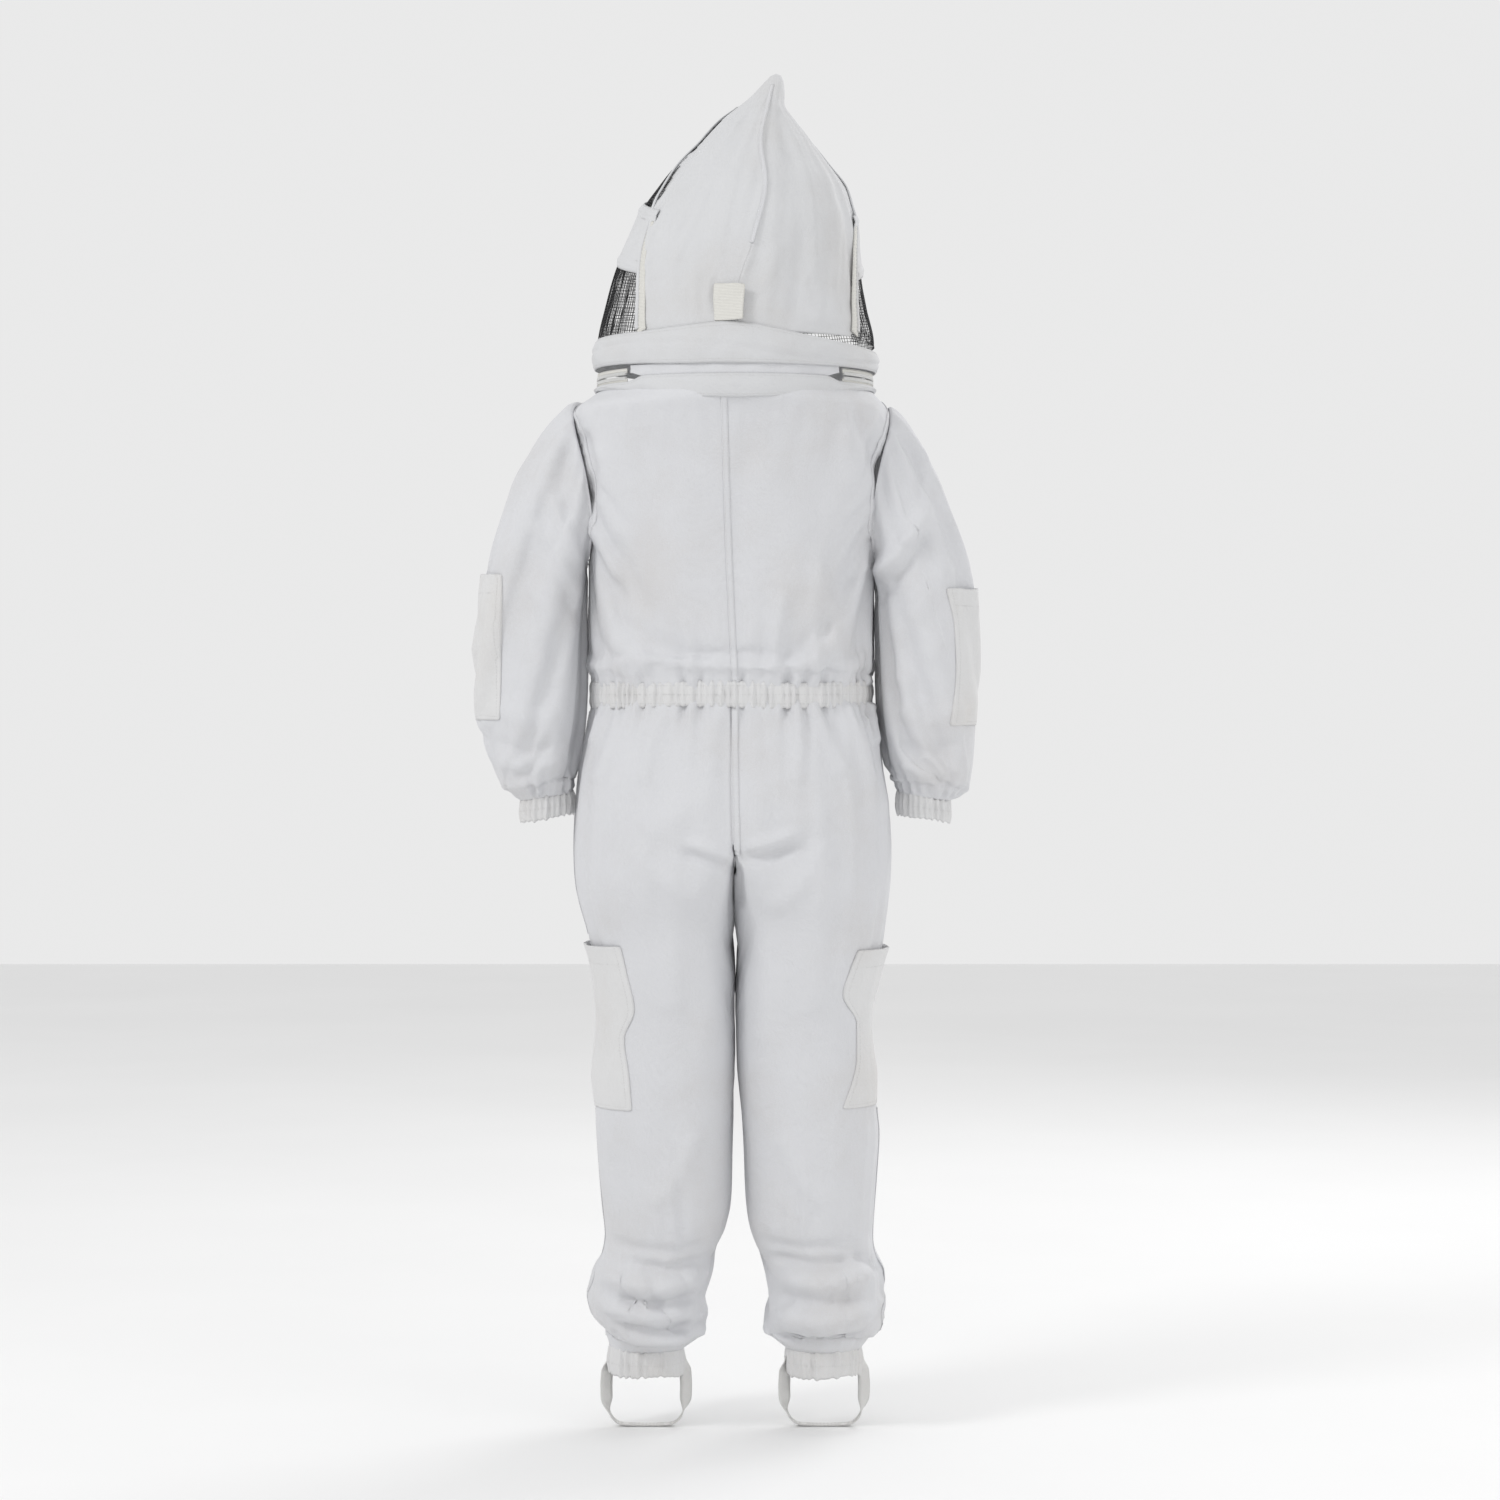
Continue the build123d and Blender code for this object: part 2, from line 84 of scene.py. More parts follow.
# Each sleeve: outer point x and z, inner point x and z, half-depth, from the seam down
SLEEVE_LEFT = [
    (174, 1103, 160, 926, 67), (194, 1092, 158, 922, 70), (214, 1069, 158, 918, 71),
    (233, 1039, 158, 912, 70), (246, 1003, 159, 904, 68), (255, 975, 159, 893, 66),
    (263, 950, 160, 880, 64), (270, 925, 160, 866, 62), (275, 900, 161, 850, 61),
    (278, 870, 161, 832, 60), (279, 840, 161, 812, 60), (279, 810, 162, 790, 59),
    (278, 785, 163, 770, 59), (276, 763, 165, 752, 58), (271, 742, 168, 733, 55),
    (263, 721, 171, 715, 50), (253, 703, 174, 699, 43), (240, 690, 176, 687, 34),
    (231, 680, 175, 680, 28)]
SLEEVE_RIGHT = [
    (166, 1098, 151, 922, 67), (182, 1086, 149, 918, 70), (200, 1061, 149, 914, 71),
    (216, 1032, 149, 908, 70), (230, 998, 150, 900, 68), (240, 972, 150, 890, 66),
    (248, 947, 150, 877, 64), (253, 922, 150, 863, 62), (256, 897, 151, 847, 61),
    (259, 868, 151, 830, 60), (261, 838, 151, 810, 60), (262, 808, 152, 789, 59),
    (262, 783, 153, 769, 59), (262, 762, 155, 751, 58), (261, 742, 158, 732, 55),
    (259, 722, 162, 715, 50), (255, 704, 168, 699, 43), (246, 690, 174, 687, 34),
    (231, 680, 175, 680, 28)]
# Hood: height, left edge, right edge, front, back and squareness
HOOD = [
    (1134, 149, -149, -148, 148, 2.0), (1150, 149, -150, -157, 147, 2.0),
    (1170, 147, -149, -165, 142, 2.0), (1208, 138, -140, -177, 134, 2.0),
    (1259, 124, -132, -184, 121, 2.05), (1297, 107, -129, -181, 109, 2.05),
    (1316, 99, -124, -176, 101, 2.0), (1336, 85, -117, -167, 92, 2.0),
    (1361, 65, -98, -149, 77, 2.0), (1386, 38, -80, -124, 59, 1.9),
    (1399, 26, -70, -112, 50, 1.85), (1412, 13, -61, -94, 39, 1.8),
    (1425, -4, -56, -78, 27, 1.8), (1437, -19, -53, -60, 15, 1.8),
    (1449, -30, -52, -42, 2, 1.9), (1457, -38, -50, -27, -10, 2.0)]
HOOD_TURN = math.radians(12)        # how far round the wearer's head is turned
TURN_COS, TURN_SIN = math.cos(HOOD_TURN), math.sin(HOOD_TURN)

WAIST_Z = 790
WAIST_HALF = 12.5
ARMHOLE = (0, 1012, 66, 88)        # centre y and z, half-depth and half-height
ZIP_HALF = 14                      # half the width of the front zip, tapes included
CUFF_TILT = 0.16                   # how much lower a wrist cuff is at its outer side
RING_RADIUS = 147
RING_Z = 1125.5
PANEL_WALL = 0.9                   # cloth thickness of the panels
WRIST_X = 203                      # how far out the wrist cuffs' middles are
ANKLE_X = 96
SEWING = (3.4, 2.4, 0.55, 0.4)     # pitch, length, width and height of the usual stitches


# ---------------------------------------------------------------- helpers

def profile(places, values):
    """A smooth function through some points that never overshoots them."""
    order = np.argsort(places)
    x, y = np.array(places, float)[order], np.array(values, float)[order]
    step = np.diff(x)
    rise = np.diff(y) / step
    slope = np.zeros_like(y)
    for i in range(1, len(y) - 1):
        if rise[i - 1] * rise[i] > 0:
            a, b = 2 * step[i] + step[i - 1], step[i] + 2 * step[i - 1]
            slope[i] = (a + b) / (a / rise[i - 1] + b / rise[i])
    slope[0], slope[-1] = rise[0], rise[-1]

    def at(q):
        q = np.clip(q, x[0], x[-1])
        i = np.clip(np.searchsorted(x, q) - 1, 0, len(step) - 1)
        t = (q - x[i]) / step[i]
        return ((2 * t ** 3 - 3 * t ** 2 + 1) * y[i]
                + (t ** 3 - 2 * t ** 2 + t) * step[i] * slope[i]
                + (3 * t ** 2 - 2 * t ** 3) * y[i + 1]
                + (t ** 3 - t ** 2) * step[i] * slope[i + 1])
    return at


def profiles(table):
    """One smooth function of the first column for each other column."""
    columns = list(zip(*table))
    return [profile(columns[0], column) for column in columns[1:]]


def smoothstep(low, high, value):
    t = np.clip((value - low) / (high - low), 0, 1)
    return t * t * (3 - 2 * t)


def power_sign(value, power):
    return np.sign(value) * np.abs(value) ** power


def section(angle, left, right, front, back, power):
    """A point of a rounded section: angle 0 is the left edge, 90 degrees the back."""
    cx, cy = (left + right) / 2, (front + back) / 2
    x = cx + (left - right) / 2 * power_sign(np.cos(angle), 2 / power)
    y = cy + (back - front) / 2 * power_sign(np.sin(angle), 2 / power)
    return x, y


def mesh_object(name, points, faces):
    """A mesh in metres from points in millimetres."""
    mesh = bpy.data.meshes.new(name)
    mesh.from_pydata([tuple(p) for p in np.asarray(points) * MM], [], faces)
    mesh.validate()
    made = bpy.data.objects.new(name, mesh)
    bpy.context.scene.collection.objects.link(made)
    mesh.polygons.foreach_set("use_smooth", [True] * len(mesh.polygons))
    return made


def grid_faces(rows, columns, closed, start=0):
    """Quads of a grid of points, row by row; closed joins the last column to the first."""
    faces = []
    across = columns if closed else columns - 1
    for r in range(rows - 1):
        for c in range(across):
            d = (c + 1) % columns
            faces.append((start + r * columns + c, start + r * columns + d,
                          start + (r + 1) * columns + d, start + (r + 1) * columns + c))
    return faces


def coordinates(obj):
    """The vertices of a mesh, in millimetres."""
    flat = np.empty(len(obj.data.vertices) * 3)
    obj.data.vertices.foreach_get("co", flat)
    return flat.reshape(-1, 3) / MM


def normals(obj):
    flat = np.empty(len(obj.data.vertices) * 3)
    obj.data.vertices.foreach_get("normal", flat)
    return flat.reshape(-1, 3)


def set_coordinates(obj, points):
    obj.data.vertices.foreach_set("co", (np.asarray(points) * MM).ravel())
    obj.data.update()


def apply_modifiers(obj):
    """Turn the modifiers of an object into its mesh."""
    bpy.context.view_layer.update()
    graph = bpy.context.evaluated_depsgraph_get()
    mesh = bpy.data.meshes.new_from_object(obj.evaluated_get(graph))
    old = obj.data
    obj.modifiers.clear()
    obj.data = mesh
    bpy.data.meshes.remove(old)
    obj.data.name = obj.name


def subdivide(obj, levels):
    modifier = obj.modifiers.new("subdivision", "SUBSURF")
    modifier.levels = modifier.render_levels = levels
    apply_modifiers(obj)


def thicken(obj, wall, offset=-1):
    """Give a skin a wall in millimetres, inwards by default."""
    modifier = obj.modifiers.new("wall", "SOLIDIFY")
    modifier.thickness = wall * MM
    modifier.offset = offset
    apply_modifiers(obj)


@contextmanager
def mesh_edit(obj):
    """A bmesh of an object's mesh, written back at the end."""
    work = bmesh.new()
    work.from_mesh(obj.data)
    yield work
    work.to_mesh(obj.data)
    work.free()


def drop_loose(obj):
    """Delete the vertices that no face uses."""
    with mesh_edit(obj) as work:
        bmesh.ops.delete(work, geom=[v for v in work.verts if not v.link_faces], context="VERTS")


def face_outwards(obj):
    with mesh_edit(obj) as work:
        bmesh.ops.recalc_face_normals(work, faces=work.faces)


def rim(obj):
    """True for each vertex on an open edge."""
    work = bmesh.new()
    work.from_mesh(obj.data)
    found = np.array([v.is_boundary for v in work.verts])
    work.free()
    return found


def split(skin, names):
    """One object for each of a skin's materials, and the surface of the whole skin."""
    pieces = []
    for number, name in enumerate(names):
        part = copy_of(skin, name)
        with mesh_edit(part) as work:
            others = [f for f in work.faces if f.material_index != number]
            bmesh.ops.delete(work, geom=others, context="FACES")
        pieces.append(part)
    surface = Surface(skin)
    bpy.data.objects.remove(skin)
    return surface, pieces


def cut(obj, point, normal):
    """Keep what is on the far side of a plane, given as a point in mm and a normal."""
    with mesh_edit(obj) as work:
        bmesh.ops.bisect_plane(work, geom=work.verts[:] + work.edges[:] + work.faces[:],
                               plane_co=Vector(point) * MM, plane_no=Vector(normal),
                               clear_inner=True)


def copy_of(obj, name):
    made = obj.copy()
    made.data = obj.data.copy()
    made.name = made.data.name = name
    bpy.context.scene.collection.objects.link(made)
    return made


def neighbours(obj):
    """Edge ends of a mesh, and how many edges each vertex has."""
    pairs = np.array([e.vertices[:] for e in obj.data.edges])
    counts = np.bincount(pairs.ravel(), minlength=len(obj.data.vertices))
    return pairs, np.maximum(counts, 1)


def blurred(values, pairs, counts, rounds):
    """Values of each vertex averaged with its neighbours', over and over."""
    for _ in range(rounds):
        total = np.zeros_like(values)
        np.add.at(total, pairs[:, 0], values[pairs[:, 1]])
        np.add.at(total, pairs[:, 1], values[pairs[:, 0]])
        values = 0.5 * values + 0.5 * total / counts[:, None]
    return values


def join(name, parts):
    """One object from several meshes."""
    bpy.ops.object.select_all(action="DESELECT")
    for part in parts:
        part.select_set(True)
    bpy.context.view_layer.objects.active = parts[0]
    bpy.ops.object.join()
    parts[0].name = parts[0].data.name = name
    return parts[0]


class Surface:
    """A finished mesh that seams, stitches and pockets are laid on."""

    def __init__(self, obj):
        self.tree = BVHTree.FromPolygons([v.co[:] for v in obj.data.vertices],
                                         [p.vertices[:] for p in obj.data.polygons])

    def from_side(self, point, direction):
        """The first place met from far outside along a direction, and its normal."""
        direction = Vector(direction).normalized()
        start = Vector(point) * MM - direction
        place, normal, _, _ = self.tree.ray_cast(start, direction)
        if place is None:
            place, normal, _, _ = self.tree.find_nearest(Vector(point) * MM)
        if normal.dot(direction) > 0:
            normal = -normal
        return np.array(place) / MM, np.array(normal)

    def nearest(self, point):
        place, normal, _, _ = self.tree.find_nearest(Vector(point) * MM)
        return np.array(place) / MM, np.array(normal)


def distances(points):
    """How far along a line of points each point is."""
    return np.r_[0, np.cumsum(np.linalg.norm(np.diff(points, axis=0), axis=1))]


def rounded_line(points, step):
    """A smooth line through a few points."""
    points = np.asarray(points, float)
    lengths = distances(points)
    curves = [profile(lengths, points[:, k]) for k in range(points.shape[1])]
    places = np.linspace(0, lengths[-1], max(2, int(lengths[-1] / step) + 1))
    return np.stack([curve(places) for curve in curves], axis=1)


def laid(surface, points, sight):
    """A line given by x and z, laid on the back or the front of a surface."""
    line = rounded_line([(x, 0, z) for x, z in points], 3.0)
    return [surface.from_side(p, sight) for p in line]


def ribbon(name, placed, width, wall, lift=0.0, crown=0.3, ribs=0.0):
    """A strip along placed points: (place, normal) pairs. It has a crowned outside."""
    places = np.array([p for p, _ in placed])
    out = np.array([n for _, n in placed])
    along = np.gradient(places, axis=0)
    along /= np.linalg.norm(along, axis=1)[:, None] + 1e-9
    across = np.cross(along, out)
    across /= np.linalg.norm(across, axis=1)[:, None] + 1e-9
    ring = [(-0.5, 0.0), (-0.5, 0.75), (-0.32, 1 + crown * 0.6), (0, 1 + crown),
            (0.32, 1 + crown * 0.6), (0.5, 0.75), (0.5, 0.0), (0, -0.4)]
    points = []
    for i, place in enumerate(places):
        rib = ribs * (i % 2)
        for side, rise in ring:
            points.append(place + across[i] * side * width
                          + out[i] * (lift + wall * rise + (rib if rise > 0.9 else 0)))
    count = len(ring)
    faces = grid_faces(len(places), count, True)
    faces += [tuple(range(count)), tuple(range(len(points) - 1, len(points) - count - 1, -1))]
    return mesh_object(name, points, faces)


STITCH_FACES = ((0, 1, 5, 4), (1, 2, 6, 5), (2, 3, 7, 6), (3, 0, 4, 7), (3, 2, 1, 0), (4, 5, 6, 7))


def stitches(name, placed, pitch=3.0, length=2.1, width=0.55, rise=0.35, side=0.0):
    """A run of separate thread stitches along placed points."""
    places = np.array([p for p, _ in placed])
    out = np.array([n for _, n in placed])
    lengths = distances(places)
    points, faces = [], []

    def between(values, at):
        return np.array([np.interp(at, lengths, values[:, k]) for k in range(3)])

    for at in np.arange(pitch / 2, lengths[-1] - pitch / 2, pitch):
        middle, ahead, normal = between(places, at), between(places, at + 1), between(out, at)
        along = ahead - middle
        along /= np.linalg.norm(along) + 1e-9
        across = np.cross(along, normal)
        middle = middle + across * side
        start = len(points)
        for end in (-0.5, 0.5):
            for a, r in ((-0.5, -0.3), (-0.3, 0.8), (0.3, 0.8), (0.5, -0.3)):
                sunk = 0 if r < 0 else -0.25
                points.append(middle + along * length * end * (1 if r < 0 else 0.7)
                              + across * a * width + normal * (r + sunk) * rise)
        faces += [tuple(start + i for i in face) for face in STITCH_FACES]
    return mesh_object(name, points, faces)


def fold_field(points, out, folds, facing, lift=0):
    """Height of directed folds at each vertex. A fold is its height, its half-width, then x and
    z of each point of its line; facing is 1 for the back and -1 for the front."""
    height = np.zeros(len(points))
    seen = smoothstep(-0.15, 0.35, out[:, 1] * facing)
    flat = points[:, [0, 2]]
    for rise, width, *line in folds:
        track = np.array(line, float).reshape(-1, 2) + (0, lift)
        best = np.full(len(points), 1e9)
        place = np.zeros(len(points))
        spans = np.linalg.norm(np.diff(track, axis=0), axis=1)
        total, done = spans.sum(), 0.0
        for a, b, span in zip(track[:-1], track[1:], spans):
            t = np.clip(((flat - a) @ (b - a)) / span ** 2, 0, 1)
            gap = np.linalg.norm(flat - (a + t[:, None] * (b - a)), axis=1)
            nearer = gap < best
            best = np.where(nearer, gap, best)
            place = np.where(nearer, (done + t * span) / total, place)
            done += span
        taper = smoothstep(0, 0.18, place) * smoothstep(0, 0.18, 1 - place) * 0.75 + 0.25
        height += rise * taper * np.exp(-(best / width) ** 2)
    return height * seen


# ---------------------------------------------------------------- materials

def shader(name, color, roughness, metallic=0.0, sheen=0.0):
    """A Principled material and the parts of its tree that the patterns use."""
    material = bpy.data.materials.new(name)
    material.use_nodes = True
    tree = material.node_tree
    surface = tree.nodes["Principled BSDF"]
    surface.inputs["Base Color"].default_value = (*color, 1)
    surface.inputs["Roughness"].default_value = roughness
    surface.inputs["Metallic"].default_value = metallic
    surface.inputs["Sheen Weight"].default_value = sheen
    surface.inputs["Sheen Roughness"].default_value = 0.45
    place = tree.nodes.new("ShaderNodeTexCoord").outputs["Object"]
    return material, tree, surface, place


def noise(tree, place, scale, detail=3.0, roughness=0.55, distortion=0.0):
    made = tree.nodes.new("ShaderNodeTexNoise")
    made.inputs["Scale"].default_value = scale
    made.inputs["Detail"].default_value = detail
    made.inputs["Roughness"].default_value = roughness
    made.inputs["Distortion"].default_value = distortion
    tree.links.new(place, made.inputs["Vector"])
    return made.outputs["Fac"]


def wave(tree, place, direction, period, distortion=0.3):
    """Bands across one axis, a period in metres apart."""
    made = tree.nodes.new("ShaderNodeTexWave")
    made.bands_direction = direction
    made.inputs["Scale"].default_value = 2 * math.pi / 20 / period
    made.inputs["Distortion"].default_value = distortion
    made.inputs["Detail"].default_value = 1.0
    made.inputs["Detail Scale"].default_value = 2.0
    tree.links.new(place, made.inputs["Vector"])
    return made.outputs["Fac"]


def math_node(tree, operation, a, b):
    made = tree.nodes.new("ShaderNodeMath")
    made.operation = operation
    for socket, value in zip(made.inputs, (a, b)):
        if isinstance(value, (int, float)):
            socket.default_value = value
        else:
            tree.links.new(value, socket)
    return made.outputs[0]


def ramp(tree, value, stops):
    """Colours by value, from (place, colour) stops."""
    made = tree.nodes.new("ShaderNodeValToRGB")
    elements = made.color_ramp.elements
    while len(elements) < len(stops):
        elements.new(0.5)
    for element, (place, color) in zip(elements, stops):
        element.position = place
        element.color = (*color, 1)
    tree.links.new(value, made.inputs["Fac"])
    return made.outputs["Color"]


def tinted(tree, surface, value, stops):
    tree.links.new(ramp(tree, value, stops), surface.inputs["Base Color"])


def bump(tree, surface, height, distance, before=None, strength=1.0):
    made = tree.nodes.new("ShaderNodeBump")
    made.inputs["Strength"].default_value = strength
    made.inputs["Distance"].default_value = distance
    tree.links.new(height, made.inputs["Height"])
    if before is not None:
        tree.links.new(before, made.inputs["Normal"])
    tree.links.new(made.outputs["Normal"], surface.inputs["Normal"])
    return made.outputs["Normal"]


def shade(color, factor):
    return tuple(c * factor for c in color)


def cotton(name, color, yarn=0.0009, crumple=0.0016, warmth=0.0):
    """Plain-weave cotton: yarns, slubs, soft crumples and faint handling marks."""
    material, tree, surface, place = shader(name, color, 0.86, sheen=0.12)
    slubs = noise(tree, place, 900, 2.0)
    broad = noise(tree, place, 7, 4.0, 0.6)
    tone = math_node(tree, "ADD", math_node(tree, "MULTIPLY", broad, 0.7),
                     math_node(tree, "MULTIPLY", slubs, 0.3))
    worn = (color[0], color[1] * (1 - 0.02 - warmth), color[2] * (1 - 0.045 - warmth))
    tinted(tree, surface, tone, [(0.3, shade(worn, 0.93)), (0.5, color), (0.7, shade(color, 1.03))])
    weft = wave(tree, place, "Z", yarn)
    warp = math_node(tree, "MULTIPLY", wave(tree, place, "X", yarn), wave(tree, place, "Y", yarn))
    weave = math_node(tree, "MULTIPLY", math_node(tree, "ADD", weft, warp), 0.5)
    cloth = math_node(tree, "ADD", weave, math_node(tree, "MULTIPLY", slubs, 0.6))
    soft = bump(tree, surface, noise(tree, place, 38, 5.0, 0.55, 0.6), crumple)
    bump(tree, surface, cloth, 0.00022, soft, 0.8)
    return material


def ribbed(name, color, period=0.0016):
    """Woven tape or elastic: fine ribs and a little fuzz."""
    material, tree, surface, place = shader(name, color, 0.8, sheen=0.15)
    ribs = wave(tree, place, "Z", period, 0.4)
    fuzz = noise(tree, place, 1400, 2.0)
    mixed = math_node(tree, "ADD", ribs, math_node(tree, "MULTIPLY", fuzz, 0.7))
    # painted shade and highlight: the colour follows the rib height, darker in the grooves and a
    # little lighter on the crests; the fuzz adds random tone
    tinted(tree, surface, mixed,
           [(0.2, shade(color, 0.86)), (0.8, color), (1.0, shade(color, 1.04))])
    bump(tree, surface, mixed, 0.0003)
    return material


def netting(name, color):
    """Thin coated threads, a little glossy where they turn."""
    material, tree, surface, place = shader(name, color, 0.5)
    dust = noise(tree, place, 300, 4.0)
    tinted(tree, surface, dust, [(0.35, shade(color, 0.7)), (0.6, color), (0.8, shade(color, 2.0))])
    bump(tree, surface, noise(tree, place, 2500, 1.0), 0.0001)
    return material


def plated(name, color):
    """Nickel plate with fine scratches and duller recesses."""
    material, tree, surface, place = shader(name, color, 0.3, metallic=1.0)
    marks = noise(tree, place, 600, 6.0, 0.7, 1.5)
    tinted(tree, surface, marks, [(0.3, shade(color, 0.8)), (0.6, color)])
    rough = ramp(tree, marks, [(0.3, (0.45,) * 3), (0.7, (0.22,) * 3)])
    tree.links.new(rough, surface.inputs["Roughness"])
    bump(tree, surface, marks, 0.00012)
    return material


def moulded(name, color):
    material, tree, surface, place = shader(name, color, 0.42)
    grain = noise(tree, place, 450, 4.0)
    tinted(tree, surface, grain, [(0.3, shade(color, 0.92)), (0.7, color)])
    bump(tree, surface, grain, 0.00008)
    return material


CLOTH = cotton("suit_cotton", (0.66, 0.665, 0.685))
POCKET = cotton("pocket_cotton", (0.685, 0.685, 0.687), warmth=0.004)
HOOD_CLOTH = cotton("hood_cotton", (0.635, 0.64, 0.652))
TAPE = ribbed("binding_tape", (0.71, 0.70, 0.66))
ELASTIC = ribbed("woven_elastic", (0.72, 0.715, 0.70), 0.0012)
THREAD = cotton("sewing_thread", (0.64, 0.64, 0.64), yarn=0.0005, crumple=0.0001)
NET = netting("veil_net", (0.018, 0.018, 0.02))
METAL = plated("nickel", (0.60, 0.60, 0.61))
TEETH = moulded("zip_teeth", (0.75, 0.75, 0.74))
HOOP = moulded("hoop_plastic", (0.70, 0.70, 0.67))


def place(obj, body, material, slot, *replaced):
    """Finish a piece: its material, its body and what it stands for. The slot argument is not used.
    """
    obj.data.materials.clear()
    obj.data.materials.append(material)
    obj.data.polygons.foreach_set("material_index", [0] * len(obj.data.polygons))
    if body:
        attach(obj, body)
    if replaced:
        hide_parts(*replaced)
    return obj


# ---------------------------------------------------------------- ruching and settling

def random_waves(along, around, wavelength, spread, seed):
    """Irregular waves along a closed line of a length, of about unit height."""
    rng = np.random.default_rng(seed)
    middle = around / wavelength
    total = np.zeros_like(along, dtype=float)
    counts = np.arange(max(1, int(middle * (1 - spread))), int(middle * (1 + spread)) + 1)
    for count in counts:
        total += rng.normal() * np.cos(2 * np.pi * count * along / around
                                       + rng.uniform(0, 2 * np.pi))
    return total / np.sqrt(len(counts)) * 1.4


def settle(obj, pinned, growth, frames):
    """How far each vertex moves when oversized cloth settles between its pinned places."""
    cloth_obj = copy_of(obj, obj.name + "_settling")
    group = cloth_obj.vertex_groups.new(name="pin")
    for weight in np.unique(np.round(pinned, 1)):
        members = np.flatnonzero(np.round(pinned, 1) == weight)
        if weight > 0:
            group.add(members.tolist(), float(weight), "REPLACE")
    modifier = cloth_obj.modifiers.new("cloth", "CLOTH")
    settings = modifier.settings
    settings.quality = 4
    settings.mass = 0.25
    settings.tension_stiffness = settings.compression_stiffness = 12
    settings.shear_stiffness = 4
    settings.bending_stiffness = 0.35
    settings.vertex_group_mass = "pin"
    settings.shrink_min = -growth
    settings.use_pressure = True
    settings.uniform_pressure_force = 0.6
    modifier.collision_settings.use_collision = False
    modifier.point_cache.frame_start = 1
    modifier.point_cache.frame_end = frames
    scene = bpy.context.scene
    for number in range(1, frames + 1):
        scene.frame_set(number)
    graph = bpy.context.evaluated_depsgraph_get()
    mesh = cloth_obj.evaluated_get(graph).to_mesh()
    flat = np.empty(len(mesh.vertices) * 3)
    mesh.vertices.foreach_get("co", flat)
    moved = flat.reshape(-1, 3) / MM - coordinates(obj)
    cloth_obj.evaluated_get(graph).to_mesh_clear()
    bpy.data.objects.remove(cloth_obj)
    scene.frame_set(1)
    return moved


def wrinkle(obj, pinned, growth=0.05, frames=24, cap=9.0, rounds=40, gain=1.0):
    """Keep the wrinkles of the settled cloth and leave its broad shape as drawn."""
    moved = settle(obj, pinned, growth, frames)
    pairs, counts = neighbours(obj)
    fine = (moved - blurred(moved, pairs, counts, rounds)) * gain
    size = np.linalg.norm(fine, axis=1)[:, None]
    fine *= np.tanh(size / cap) * cap / np.maximum(size, 1e-6)
    fine *= (1 - pinned)[:, None]
    set_coordinates(obj, coordinates(obj) + fine)


# ---------------------------------------------------------------- coverall

HALF = 72                          # columns from the front round one side to the back
CROTCH = 34                        # columns of the seam under the crotch
BODY_ROWS = np.r_[1113, 1110, 1106, 1101, 1096, 1090, np.arange(1084, 640, -5.9), 634]
LEG_STEPS = 92
CROTCH_DROP = 30


def evenly(widths, begin, turn, steps, count):
    """Evenly spaced points of a section from an angle on, without the last one."""
    x, y = section(begin + np.linspace(0, turn, steps), *widths)
    lengths = np.r_[0, np.cumsum(np.hypot(np.diff(x), np.diff(y)))]
    places = np.linspace(0, lengths[-1], count + 1)[:-1]
    return np.stack([np.interp(places, lengths, x), np.interp(places, lengths, y)], axis=1)


def section_ring(widths, count, begin=-0.5 * math.pi):
    """Evenly spaced points round a section, from one angle the whole way round."""
    return evenly(widths, begin, 2 * math.pi, 1441, count)


def body_ring(widths):
    """Half the columns round the left side, from the front to the back, then half back."""
    return np.concatenate([evenly(widths, begin, math.pi, 721, HALF)
                           for begin in (-0.5 * math.pi, 0.5 * math.pi)])


def leg_rings(table, top_ring):
    """Rings of a leg on the wearer's left, from the hip's half ring and the crotch seam."""
    shape = profiles(table)
    around = HALF + CROTCH
    top_z = table[0][0]
    end_z = table[-1][0]
    crotch_t = np.linspace(0, 1, CROTCH + 1)[1:-1]
    front, back = top_ring[0], top_ring[HALF]
    seam_y = back[1] + (front[1] - back[1]) * crotch_t
    seam_z = top_z - CROTCH_DROP * (1 - (2 * crotch_t - 1) ** 2)
    start = np.concatenate([np.c_[top_ring[:HALF + 1], np.full(HALF + 1, top_z)],
                            np.c_[np.zeros(CROTCH - 1), seam_y, seam_z]])
    rings = [start]
    for step in range(1, LEG_STEPS + 1):
        t = step / LEG_STEPS
        z = start[:, 2] + (end_z - start[:, 2]) * t
        level = top_z + (end_z - top_z) * t
        inner, outer, front_y, back_y, power = [float(f(level)) for f in shape]
        ring = section_ring((outer, inner, front_y, back_y, power), around, math.pi)
        ring = np.roll(ring, -(CROTCH // 2), axis=0)
        spread = smoothstep(0, 95, top_z - level)
        flat = start[:, :2] * (1 - spread) + ring * spread
        if spread < 1:
            flat[:, 0] = np.maximum(flat[:, 0], 0.8 * spread)
        rings.append(np.c_[flat, z])
    return rings


